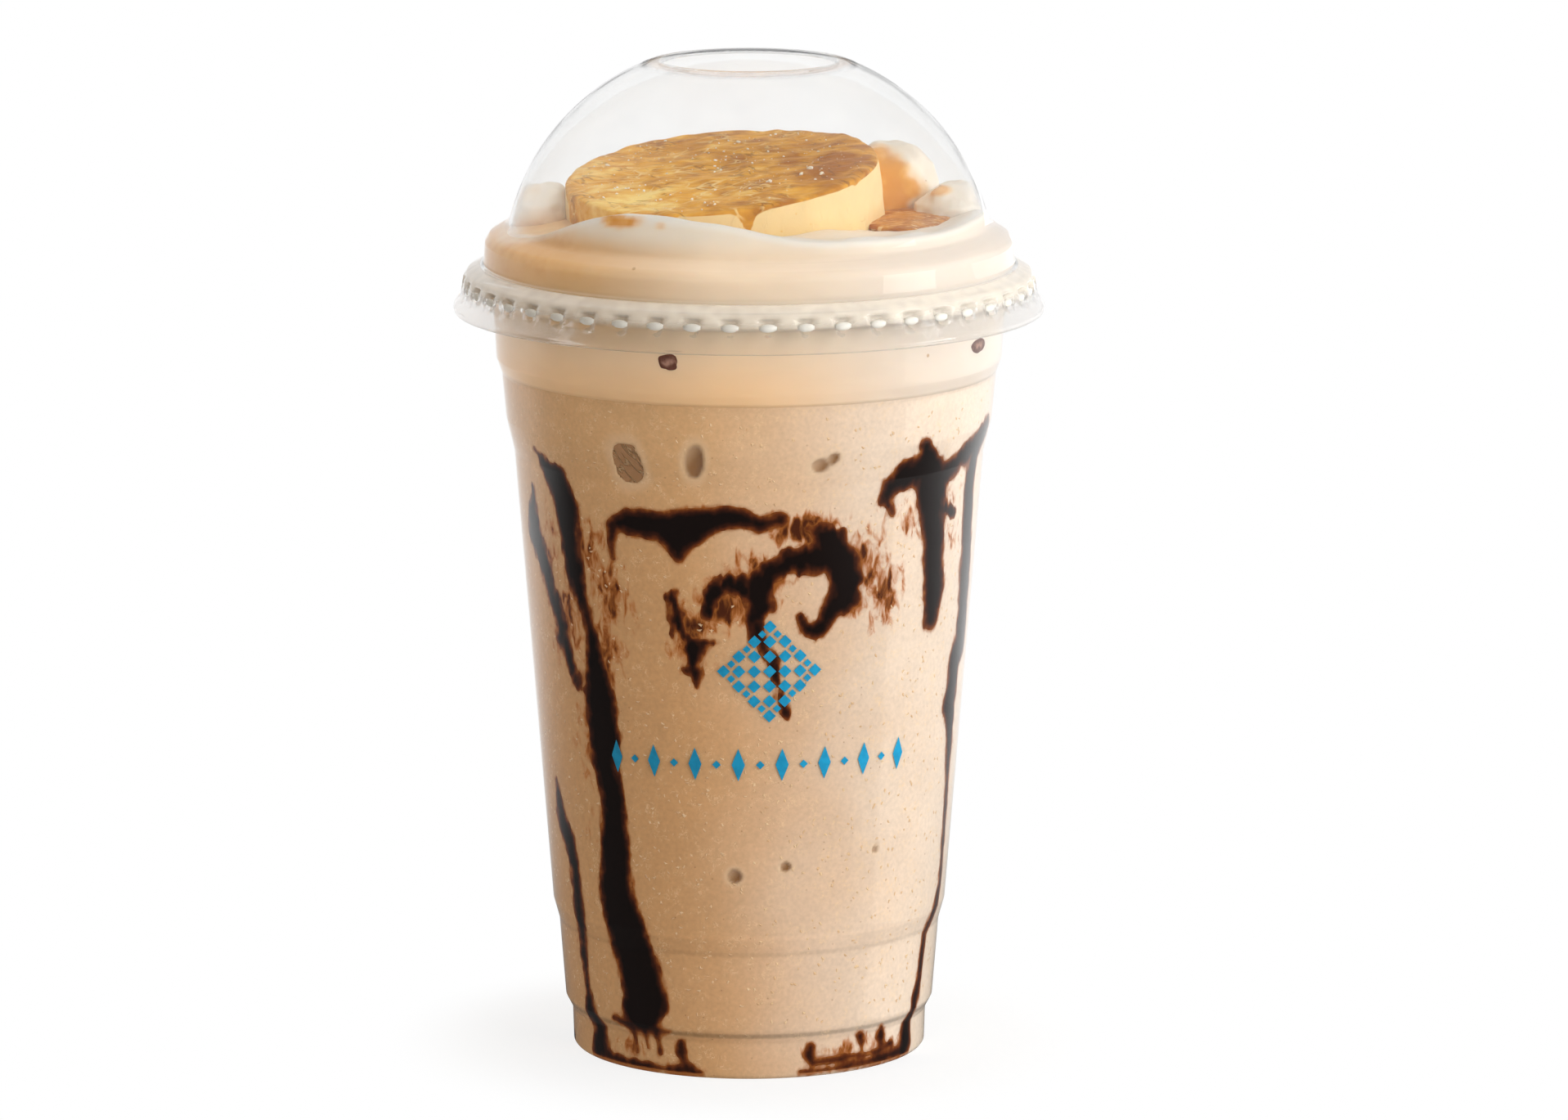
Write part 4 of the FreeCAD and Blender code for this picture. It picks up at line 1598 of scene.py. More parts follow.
@dataclass
class SunkThings:
    """The ice and the dark chips that show at the wall."""

    cup: ClearCup
    ice: tuple[SunkLump, ...] = (
        SunkLump(-30.0, 109.8, 3.0, 3.8, 1.6, -12.0, 41, 0.6, 0.10),
        SunkLump(-118.0, 108.0, 2.3, 3.0, 1.3, -20.0, 42, 0.6, 0.10),
    )
    chips: tuple[SunkLump, ...] = (
        SunkLump(-18.0, 128.4, 2.3, 1.75, 1.6, 8.0, 43), SunkLump(63.5, 127.6, 3.4, 1.5, 1.6, 38.0, 44),
        SunkLump(150.0, 126.5, 2.4, 1.9, 1.6, -20.0, 45), SunkLump(-104.0, 129.0, 2.0, 1.7, 1.4, 30.0, 46),
    )

    def build(self, ice_finish: IceFinish, chip_finish: ChipFinish) -> None:
        """Makes the ice and the chips."""
        ice = lumps_together(list(self.ice), self.cup, 0.08)
        place_piece(ice.mesh("ice_pieces", ice_finish.material()))
        chips = lumps_together(list(self.chips), self.cup, 0.36)
        place_piece(chips.mesh("dark_chips", chip_finish.material()))


@dataclass
class IceFlecks:
    """Pale flecks of blended ice and froth that lie all over the drink at the wall."""

    cup: ClearCup
    count: int = 2600
    seat: float = 0.265
    length: float = 0.34
    seed: int = 7

    def fleck(self) -> Mesh:
        """Makes one curved fleck, flat side to the wall."""
        steps = 4
        points = []
        for n in range(steps + 1):
            along = n / steps * 2.0 - 1.0
            half = 0.32 * (1.0 - along * along) + 0.02
            bow = 0.35 * along * along
            crest = 0.12 * (1 - along * along)
            points += [(along, bow - half, 0.0), (along, bow, crest), (along, bow + half, 0.0)]
        faces = []
        for n in range(steps):
            a = 3 * n
            faces += [(a, a + 3, a + 4, a + 1), (a + 1, a + 4, a + 5, a + 2), (a, a + 2, a + 5, a + 3)]
        faces += [(0, 1, 2), (3 * steps, 3 * steps + 2, 3 * steps + 1)]
        return Surface(np.array(points) / MM, faces).mesh("fleck", None)

    def recipe(self, finish: GrainFinish) -> Recipe:
        """Draws the rule that lays the flecks on their places.

        Args:
            finish: The flecks' finish.

        Returns:
            The geometry node tree.
        """
        recipe = Recipe("ice_flecks", {"Length": self.length * MM, "Seed": self.seed})
        seed = recipe.size("Seed")
        turn, grow = (
            Value(recipe, recipe.node("FunctionNodeRandomValue", {2: low, 3: high, "Seed": seed}).outputs[1])
            for low, high in ((0.0, math.tau), (0.45, 1.35))
        )
        normal = recipe.out("GeometryNodeInputNormal")
        stand = recipe.out("FunctionNodeAlignRotationToVector", {"Vector": normal}, axis="Z")
        spin = recipe.out("FunctionNodeAxisAngleToRotation", {"Axis": (0.0, 0.0, 1.0), "Angle": turn})
        lie = recipe.out("FunctionNodeRotateRotation", {0: stand, 1: spin}, rotation_space="LOCAL")
        sizes = {"Rotation": lie, "Scale": grow * recipe.size("Length")}
        recipe.finish(recipe.copies("fleck_shape", self.fleck(), sizes), finish.material())
        return recipe

    def build(self, finish: GrainFinish, syrup: SyrupField) -> None:
        """Makes the flecks.

        Args:
            finish: Their finish.
            syrup: The syrup, which hides them.
        """
        chance = np.random.default_rng(self.seed)
        azimuth = chance.uniform(-180.0, 180.0, self.count)
        height = chance.uniform(10.0, 119.0, self.count)
        clear = syrup.depth(azimuth, height) < -0.8
        azimuth, height = azimuth[clear], height[clear]
        spots = around(azimuth, self.cup.inside(height) + self.seat, height)
        small = 0.02
        corner = np.array([[0.0, 0.0], [1.0, 0.0], [0.0, 1.0]]) * small
        tangent = around(azimuth + 90.0, np.ones(len(azimuth)), np.zeros(len(azimuth)))
        points = []
        for across, up in corner:
            points.append(spots + tangent * across + np.array([0.0, 0.0, up]))
        count = len(spots)
        faces = [(n, n + count, n + 2 * count) for n in range(count)]
        seats = Surface(np.vstack(points), faces).mesh("fleck_seats", None)
        place_piece(self.recipe(finish).made_from(seats, "ice_flecks"))


# ---------------------------------------------------------------- cream, custard and sauce


class Swell(NamedTuple):
    """A rise or a hollow in the cream: its place, height, half length, half width and turn in degrees."""

    x: float
    y: float
    rise: float
    length: float
    width: float
    turn: float


SWELLS = (
    Swell(-21.5, -33.5, 5.0, 10.5, 4.8, -31.0), Swell(-4.5, -39.5, 3.3, 8.0, 5.0, -4.0),
    Swell(21.0, -37.0, 1.2, 22.0, 5.0, 25.0), Swell(40.0, -9.0, 1.8, 13.0, 5.0, 76.0),
    Swell(-42.0, -12.0, -2.2, 10.0, 7.0, -70.0), Swell(-20.0, 32.0, 2.6, 12.0, 7.0, 32.0),
    Swell(9.0, 36.0, 1.6, 11.0, 6.0, -14.0), Swell(27.0, -2.0, -2.6, 9.0, 6.0, 80.0),
)


class Stain(NamedTuple):
    """A place where caramel lies on the cream: X, Y, Z, reach across, reach up and strength."""

    x: float
    y: float
    z: float
    across: float
    up: float
    strength: float

    def amount(self, points: Array, stray: Array, ends: float, full: float) -> Array:
        """Measures the caramel on places.

        Args:
            points: The places.
            stray: How far its edge strays at each, in reaches.
            ends: Where it ends, in reaches.
            full: Where it is at its full strength.

        Returns:
            The amounts.
        """
        flat = np.hypot(points[:, 0] - self.x, points[:, 1] - self.y) / self.across
        far = np.hypot(flat, (points[:, 2] - self.z) / self.up)
        return self.strength * smooth_step(ends, full, far + stray)


@dataclass
class CreamHead:
    """The cream above the drink: it fills the neck and the shoulder, and rises in soft swells."""

    cup: ClearCup
    lid: DomedLid
    base: float = 147.2
    foot: float = 120.7
    reach: float = 0.27
    columns: int = 400
    side_rows: int = 44
    top_rows: int = 84
    stains: tuple[Stain, ...] = (
        Stain(-23.0, -35.5, 151.5, 4.6, 1.3, 0.85), Stain(-15.5, -38.8, 151.3, 1.7, 0.9, 0.6),
        Stain(-41.0, -15.0, 144.0, 26.0, 8.5, 0.42), Stain(26.0, 12.0, 147.0, 6.0, 3.0, 0.8),
        Stain(-2.0, 30.0, 148.0, 8.0, 3.0, 0.5),
    )

    def height(self, x: Array, y: Array) -> Array:
        """Gives the height of the cream's top at places."""
        total = np.full(np.shape(x), self.base)
        for swell in SWELLS:
            turn = math.radians(swell.turn)
            along = (x - swell.x) * math.cos(turn) + (y - swell.y) * math.sin(turn)
            over = (y - swell.y) * math.cos(turn) - (x - swell.x) * math.sin(turn)
            far = (along / swell.length) ** 2 + (over / swell.width) ** 2
            total = total + swell.rise * np.exp(-0.5 * far)
        return total

    def surface(self, x: Array, y: Array) -> Array:
        """Gives the height of the finished, uneven top at places."""
        flat = np.stack([x, y, 0.0 * x + self.base], axis=-1).reshape(-1, 3)
        ripple = Unevenness(7.0, 51).at(flat) * 0.45 + Unevenness(2.6, 52).at(flat) * 0.16
        return self.height(x, y) + 0.25 + ripple.reshape(np.shape(x))

    def room(self, height: Array) -> Array:
        """Gives the inner radius of the cup and the lid at heights."""
        joint = self.cup.rings[-1][1]
        shoulder = self.lid.shoulder[1][1]
        share = smooth_step(joint - 0.5, shoulder, height)
        return self.cup.inside(height) * (1 - share) + self.lid.inside(np.maximum(height, shoulder)) * share

    def caramel(self, points: Array) -> Array:
        """Measures how much caramel lies on places of the cream."""
        amount = np.zeros(len(points))
        wander = Unevenness(3.0, 61).at(points) + 0.5 * Unevenness(1.2, 62).at(points)
        for stain in self.stains:
            stray = wander * min(0.25, 1.1 / stain.across)
            amount = np.maximum(amount, stain.amount(points, stray, 1.5, 0.5))
        return amount

    def build(self, finish: CreamFinish) -> None:
        """Makes the cream."""
        azimuths = np.linspace(-180.0, 180.0, self.columns, endpoint=False)
        edge = np.full(self.columns, self.base)
        for _ in range(12):
            rim = around(azimuths, self.room(edge) - 0.8, edge)
            edge = self.height(rim[:, 0], rim[:, 1])
        rings = []
        for n in range(self.side_rows + 1):
            height = self.foot + (edge - self.foot) * n / self.side_rows
            rings.append(around(azimuths, self.room(height) + self.reach, height))
        lip = self.room(edge) + self.reach
        for n in range(1, self.top_rows):
            share = 1.0 - n / self.top_rows
            ring = around(azimuths, lip * share, edge)
            roll = smooth_step(0.93, 1.0, np.full(self.columns, share)) ** 2
            ring[:, 2] = self.surface(ring[:, 0], ring[:, 1]) * (1 - roll) + edge * roll
            rings.append(ring)
        middle = float(self.height(np.array(0.0), np.array(0.0)))
        points = np.vstack([[[0.0, 0.0, self.foot]], *rings, [[0.0, 0.0, middle]]])
        last = len(points) - 1
        numbers = np.arange(1, last).reshape(-1, self.columns).tolist()
        faces = woven([[0] * self.columns, *numbers, [last] * self.columns])
        made = Surface(points, faces, {"caramel": self.caramel(points)})
        near_wall = smooth_step(2.6, 0.2, self.room(points[:, 2]) - np.hypot(points[:, 0], points[:, 1]))
        edge_here = np.concatenate([[0.0], np.tile(edge, self.side_rows + self.top_rows), [0.0]])
        # Where the painted highlight lies: near the wall, along the cream's top edge.
        made.values["crest"] = near_wall * smooth_step(1.5, 0.2, edge_here - points[:, 2])
        place_piece(made.mesh("cream_head", finish.material()), ("cream_head",))


@dataclass
class CustardRound:
    """The round of baked custard, with its glazed top, tipped a little forwards and to the left."""

    radius: float = 27.6
    thickness: float = 14.0
    edge: float = 1.5
    foot: tuple[float, float, float] = (-3.6, 1.7, 141.65)
    lean_front: float = 7.1
    lean_left: float = 5.2
    columns: int = 400

    def outline(self) -> Line:
        """Draws the round's outline, from the middle of its foot to the middle of its top."""
        r, t = self.radius, self.thickness
        side = [(r - 0.5, 0.0), (r, 1.2), (r + 0.25, t * 0.5), (r - 0.1, t - 0.2), (r - 1.0, t)]
        corners = [(0.0, 0.0), *side, (0.0, t)]
        line = rounded(corners, self.edge, 5)
        foot = divided(line[:2], 6.0)
        side = divided(line[1:-1], 0.45)
        top = divided(line[-2:], 0.42)
        return [*foot, *side[1:], *top[1:]]

    def glaze(self, local: Array) -> Array:
        """Measures the glaze on places of the round: all over its top, and down its side in runs."""
        azimuth = np.degrees(np.arctan2(local[:, 0], -local[:, 1]))
        ring = around(azimuth, np.full(len(azimuth), self.radius), np.zeros(len(azimuth)))
        hang = 0.9 + 0.7 * Unevenness(4.5, 71).at(ring) + 0.5 * Unevenness(1.8, 72).at(ring)
        runs = (
            (9.5, 1.7, 3.0), (-4.0, 5.0, -1.0), (40.0, 16.0, -0.7), (76.0, 12.0, -0.9), (-62.0, 9.0, 14.0),
            (-30.0, 7.0, 3.0), (140.0, 6.0, 6.0), (-150.0, 9.0, 5.0),
        )
        for middle, half, drop in runs:
            hang = hang + drop * np.exp(-0.5 * ((azimuth - middle) / half) ** 2)
        down = self.thickness - local[:, 2]
        return np.maximum(smooth_step(-0.6, 0.6, hang - down), smooth_step(1.0, 0.4, down))

    def tone(self, local: Array) -> Array:
        """Measures how brown the glaze is: pale at the front left, dark along the right and the back."""
        x, y = local[:, 0], local[:, 1]
        dark = 0.52 + 0.0 * x
        dark = dark + 0.40 * np.exp(-(((x - 19.0) / 9.0) ** 2 + ((y + 4.0) / 17.0) ** 2))
        dark = dark + 0.15 * np.exp(-(((x - 2.0) / 20.0) ** 2 + ((y - 21.0) / 6.0) ** 2))
        dark = dark - 0.45 * np.exp(-(((x + 17.0) / 8.0) ** 2 + ((y + 13.0) / 7.0) ** 2))
        dark = dark - 0.20 * np.exp(-(((x + 22.0) / 7.0) ** 2 + ((y - 3.0) / 11.0) ** 2))
        return dark + 0.10 * Unevenness(6.0, 73).at(local)

    def placed(self, local: Array) -> Array:
        """Tips and moves the round's own points to their place on the cream."""
        front, left = math.radians(self.lean_front), math.radians(-self.lean_left)
        cosine, sine = math.cos(left), math.sin(left)
        about_y = np.array([[cosine, 0, sine], [0, 1, 0], [-sine, 0, cosine]])
        cosine, sine = math.cos(front), math.sin(front)
        about_x = np.array([[1, 0, 0], [0, cosine, -sine], [0, sine, cosine]])
        return local @ (about_x @ about_y).T + np.array(self.foot)

    def shape(self) -> Surface:
        """Shapes the round about its own middle."""
        made = turned(self.outline(), np.linspace(-180.0, 180.0, self.columns, endpoint=False))
        local = made.points
        out = np.hypot(local[:, 0], local[:, 1]) / self.radius
        wobble = 0.35 * Unevenness(9.0, 74).at(local) + 0.16 * Unevenness(3.0, 75).at(local)
        local[:, :2] *= (1.0 + (wobble - 0.25) * smooth_step(0.5, 1.0, out) / self.radius)[:, None]
        on_top = smooth_step(self.thickness - 1.6, self.thickness - 0.2, local[:, 2])
        turned_45 = local @ np.array([[0.95, -0.3, 0.0], [0.3, 0.95, 0.0], [0.0, 0.0, 1.0]])
        fibre = Unevenness(0.9, 76).at(turned_45 * np.array([0.25, 1.0, 1.0]))
        relief = 0.42 * Unevenness(7.5, 77).at(local) + 0.18 * Unevenness(2.4, 78).at(local) + 0.10 * fibre
        local[:, 2] += (relief - 0.1) * on_top
        made.values["glaze"] = self.glaze(local)
        made.values["tone"] = self.tone(local)
        made.points = local
        return made

    def build(self, finish: CustardFinish) -> None:
        """Makes the round."""
        made = self.shape()
        made.points = self.placed(made.points)
        place_piece(made.mesh("custard_round", finish.material()), ("custard_round",))


@dataclass
class WhippedLump:
    """One lump of whipped cream beside the custard, folded, with caramel run over part of it."""

    name: str
    middle: tuple[float, float, float]
    half: tuple[float, float, float]
    seed: int
    sauce: tuple[Stain, ...] = ()
    rings: int = 72
    columns: int = 110

    def build(self, head: CreamHead, finish: CreamFinish) -> None:
        """Makes the lump.

        Args:
            head: The cream that it lies on.
            finish: The cream's finish.
        """
        made = unit_ball(self.rings, self.columns)
        unit = made.points
        fold = Unevenness(0.62, self.seed).at(unit * np.array([1.0, 1.0, 1.4]))
        crease = -np.abs(Unevenness(0.75, self.seed + 1).at(unit))
        swell = 1.0 + 0.10 * fold + 0.14 * (crease + 0.35) + 0.03 * Unevenness(0.2, self.seed + 2).at(unit)
        points = unit * swell[:, None] * np.array(self.half) + np.array(self.middle)
        radius = np.hypot(points[:, 0], points[:, 1])
        allowed = head.room(np.maximum(points[:, 2], 140.0)) - 0.1
        points[:, :2] *= np.minimum(1.0, allowed / np.maximum(radius, 1e-6))[:, None]
        amount = np.zeros(len(points))
        wander = Unevenness(2.6, self.seed + 3).at(points) * 0.3
        for stain in self.sauce:
            amount = np.maximum(amount, stain.amount(points, wander, 1.3, 0.6))
        points += unit * (amount * 0.35)[:, None]
        made.points = points
        made.values["caramel"] = amount
        place_piece(made.mesh(self.name, finish.material()), (self.name,))


LUMPS = (
    WhippedLump(
        "whipped_lump_back",
        (24.0, 15.5, 147.0),
        (9.6, 9.0, 10.8),
        81,
        (Stain(21.5, 8.5, 149.0, 9.2, 11.0, 1.0), Stain(21.0, 11.0, 155.0, 6.0, 3.2, 0.7)),
    ),
    WhippedLump(
        "whipped_lump_right",
        (35.5, 5.5, 146.0),
        (6.6, 8.0, 6.4),
        85,
        (Stain(32.5, 2.0, 151.5, 3.0, 1.1, 0.7), Stain(30.0, 0.0, 146.0, 4.0, 1.6, 0.9)),
    ),
    WhippedLump(
        "whipped_lump_left",
        (-36.5, 5.0, 146.0),
        (6.8, 9.5, 6.6),
        89,
        (Stain(-41.0, 2.0, 150.0, 4.5, 3.5, 0.45),),
    ),
)


@dataclass
class CaramelPool:
    """The caramel that has run into the hollow between the custard and the cream."""

    head: CreamHead
    level: float = 147.25
    centre: tuple[float, float] = (28.5, -2.0)
    half: tuple[float, float] = (10.5, 14.0)
    step: float = 0.3

    def build(self, finish: CaramelFinish) -> None:
        """Makes the pool."""
        xs = np.arange(self.centre[0] - self.half[0], self.centre[0] + self.half[0], self.step)
        ys = np.arange(self.centre[1] - self.half[1], self.centre[1] + self.half[1], self.step)
        wide, tall = np.meshgrid(xs, ys)
        shore = self.head.surface(wide, tall)
        reach = np.hypot((wide - self.centre[0]) / self.half[0], (tall - self.centre[1]) / self.half[1])
        depth = np.minimum((self.level - shore) * 3.0, (0.97 - reach) * 10.0)
        cut = cut_grid(depth)
        y, x, inside = cut.read(depth, ys, xs)
        place = np.stack([x, y, np.full(len(x), self.level)], axis=1)
        ripple = 0.22 * Unevenness(3.0, 92).at(place) + 0.12 * Unevenness(0.9, 93).at(place)
        bulge = 0.45 * (1 - np.exp(-inside / 0.7))
        top = self.level - 0.12 + bulge * (1 + ripple)
        top = np.where(cut.edge, np.minimum(top, self.head.surface(x, y) - 0.15), top)
        front = np.stack([x, y, top], axis=1)
        back = np.stack([x, y, self.level - 0.4 - inside * 0.4], axis=1)
        made = closed_film(cut, front, back, {})
        place_piece(made.mesh("caramel_pool", finish.material()))


@dataclass
class SugarGrains:
    """Loose sugar on the custard's glaze."""

    custard: CustardRound
    count: int = 230
    large: tuple[tuple[float, float, float], ...] = (
        (3.0, 17.0, 1.5), (15.5, -6.0, 2.1), (14.0, -9.5, 1.7), (17.5, -9.8, 1.6), (8.5, -12.0, 2.0),
        (-20.0, 8.0, 1.5), (-5.0, -17.0, 1.2), (-1.0, 6.0, 1.1),
    )
    size: float = 0.21
    seed: int = 5

    def crystal(self) -> Mesh:
        """Makes one blunt crystal."""
        line = [(0.0, -0.8), (0.75, -0.6), (1.0, 0.1), (0.6, 0.8), (0.0, 0.9)]
        made = turned(line, np.array([-180.0, -122.0, -65.0, -8.0, 55.0, 118.0]))
        made.points *= np.array([1.25, 0.8, 0.75])
        made.points /= MM
        return made.mesh("sugar_crystal", None, 35.0)

    def recipe(self, finish: GrainFinish) -> Recipe:
        """Draws the rule that sets a crystal on each seat.

        Args:
            finish: The crystals' finish.

        Returns:
            The geometry node tree.
        """
        recipe = Recipe("sugar_grains", {"Crystal Size": self.size * MM, "Seed": self.seed})
        span = {0: (-0.5, -0.5, 0.0), 1: (0.5, 0.5, math.tau), "Seed": recipe.size("Seed")}
        turn = recipe.out("FunctionNodeRandomValue", span, data_type="FLOAT_VECTOR")
        spin = recipe.out("FunctionNodeEulerToRotation", {0: turn})
        sizes = {"Rotation": spin, "Scale": recipe.attribute("grain") * recipe.size("Crystal Size")}
        recipe.finish(recipe.copies("sugar_shape", self.crystal(), sizes), finish.material())
        return recipe

    def build(self, finish: GrainFinish) -> None:
        """Makes the sugar."""
        chance = np.random.default_rng(self.seed)
        reach = 25.5 * np.sqrt(chance.uniform(0.0, 1.0, self.count))
        turn = chance.uniform(0.0, math.tau, self.count)
        x, y = reach * np.cos(turn), reach * np.sin(turn)
        grain = 0.35 + 1.1 * chance.uniform(0.0, 1.0, self.count) ** 3
        x = np.concatenate([x, [g[0] for g in self.large]])
        y = np.concatenate([y, [g[1] for g in self.large]])
        grain = np.concatenate([grain, [g[2] * 1.3 for g in self.large]])
        shape = self.custard.shape().points
        top = shape[shape[:, 2] > self.custard.thickness - 1.2]
        nearest = [int(np.argmin((top[:, 0] - a) ** 2 + (top[:, 1] - b) ** 2)) for a, b in zip(x, y)]
        seats = np.stack([x, y, top[nearest, 2] + 0.05], axis=1)
        seats = Surface(self.custard.placed(seats), [], {"grain": grain}).mesh("sugar_seats", None)
        place_piece(self.recipe(finish).made_from(seats, "sugar_grains"))


# ---------------------------------------------------------------- print


@dataclass
class PrintedPattern:
    """A plain printed pattern of small lozenges: one large lozenge of them, and a row below."""

    cup: ClearCup
    azimuth: float = 5.3
    height: float = 73.9
    cells: int = 7
    cell: float = 2.65
    row_height: float = 57.2
    row_from: float = -38.0
    row_to: float = 44.0
    row_count: int = 15
    ink: float = 0.03

    def seats(self) -> Surface:
        """Lays out the tiles flat: each one's turn, place along and up, half width and half height."""
        tiles = []
        middle = math.radians(self.azimuth)
        half = self.cells // 2
        for i in range(-half, half + 1):
            for j in range(-half, half + 1):
                if max(abs(i), abs(j)) == half or (i + j) % 2 == 0 or (i == 0 and j == 0):
                    size = self.cell * 0.43 if (i + j) % 2 == 0 else self.cell * 0.27
                    along, up = (i - j) * self.cell / 2, self.height + (i + j) * self.cell / 2
                    tiles.append((middle, along, up, size, size))
        for n in range(self.row_count):
            turn = self.row_from + (self.row_to - self.row_from) * n / (self.row_count - 1)
            wide, tall = (1.15, 2.9) if n % 2 == 0 else (0.75, 0.75)
            tiles.append((math.radians(turn), 0.0, self.row_height, wide, tall))
        turns, along, up, wide, tall = np.array(tiles).T
        sizes = {"along": along, "half_width": wide, "half_height": tall, "level": up}
        carried = {"turn": turns, **{key: numbers * MM for key, numbers in sizes.items()}}
        return Surface(np.stack([0.0 * up, 0.0 * up, up], axis=1), [], carried)

    def tile(self) -> Mesh:
        """Makes one flat lozenge tile, one unit from its middle to its corners."""
        steps = 4
        ring = []
        corners = [(1.0, 0.0), (0.0, 1.0), (-1.0, 0.0), (0.0, -1.0)]
        for (x0, y0), (x1, y1) in zip(corners, corners[1:] + corners[:1]):
            ring += [(x0 + (x1 - x0) * n / steps, y0 + (y1 - y0) * n / steps) for n in range(steps)]
        count = len(ring)
        points = [(x, y, z) for z in (1.0, 0.0) for x, y in ring] + [(0, 0, 1.0), (0, 0, 0.0)]
        faces = []
        for n in range(count):
            m = (n + 1) % count
            faces += [(n, m, 2 * count), (m + count, n + count, 2 * count + 1), (n + count, m + count, m, n)]
        return Surface(np.array(points, float) / MM, faces).mesh("print_tile", None, 30.0)

    def recipe(self, finish: GrainFinish) -> Recipe:
        """Draws the rule that wraps the tiles round the cup.

        Args:
            finish: The ink's finish.

        Returns:
            The geometry node tree.
        """
        (foot_r, foot_z), (head_r, head_z) = self.cup.taper_foot, self.cup.taper_head
        slope = (head_r - foot_r) / (head_z - foot_z)
        sizes = {
            "Radius At Floor": (foot_r - slope * foot_z - 0.005) * MM,
            "Taper": slope,
            "Ink Thickness": self.ink * MM,
        }
        recipe = Recipe("printed_pattern", sizes)
        own = recipe.attribute
        scale = recipe.joined(own("half_width"), own("half_height"), recipe.size("Ink Thickness"))
        tiles = recipe.copies("tile_shape", self.tile(), {"Scale": scale})
        real = recipe.out("GeometryNodeRealizeInstances", {0: tiles})
        x, y, z = recipe.parts(recipe.out("GeometryNodeInputPosition"))
        level = own("level")
        up = level + y
        radius = recipe.size("Radius At Floor") + recipe.size("Taper") * up
        turn = own("turn") + (x + own("along")) / radius
        out = radius + z - level
        wrapped = recipe.joined(out * turn.math("SINE", turn), out * turn.math("COSINE", turn) * -1.0, up)
        moved = recipe.out("GeometryNodeSetPosition", {"Geometry": real, "Position": wrapped})
        recipe.finish(moved, finish.material())
        return recipe

    def build(self, finish: GrainFinish) -> None:
        """Makes the print."""
        seats = self.seats().mesh("print_seats", None)
        place_piece(self.recipe(finish).made_from(seats, "printed_pattern"))


# ---------------------------------------------------------------- studio


class Softbox(NamedTuple):
    """A soft lamp aimed at the cup: its place and size in metres, its power, its shine and its colour."""

    name: str
    azimuth: float
    elevation: float
    distance: float
    width: float
    height: float
    watts: float
    shines: bool
    colour: Colour = (1.0, 1.0, 1.0)


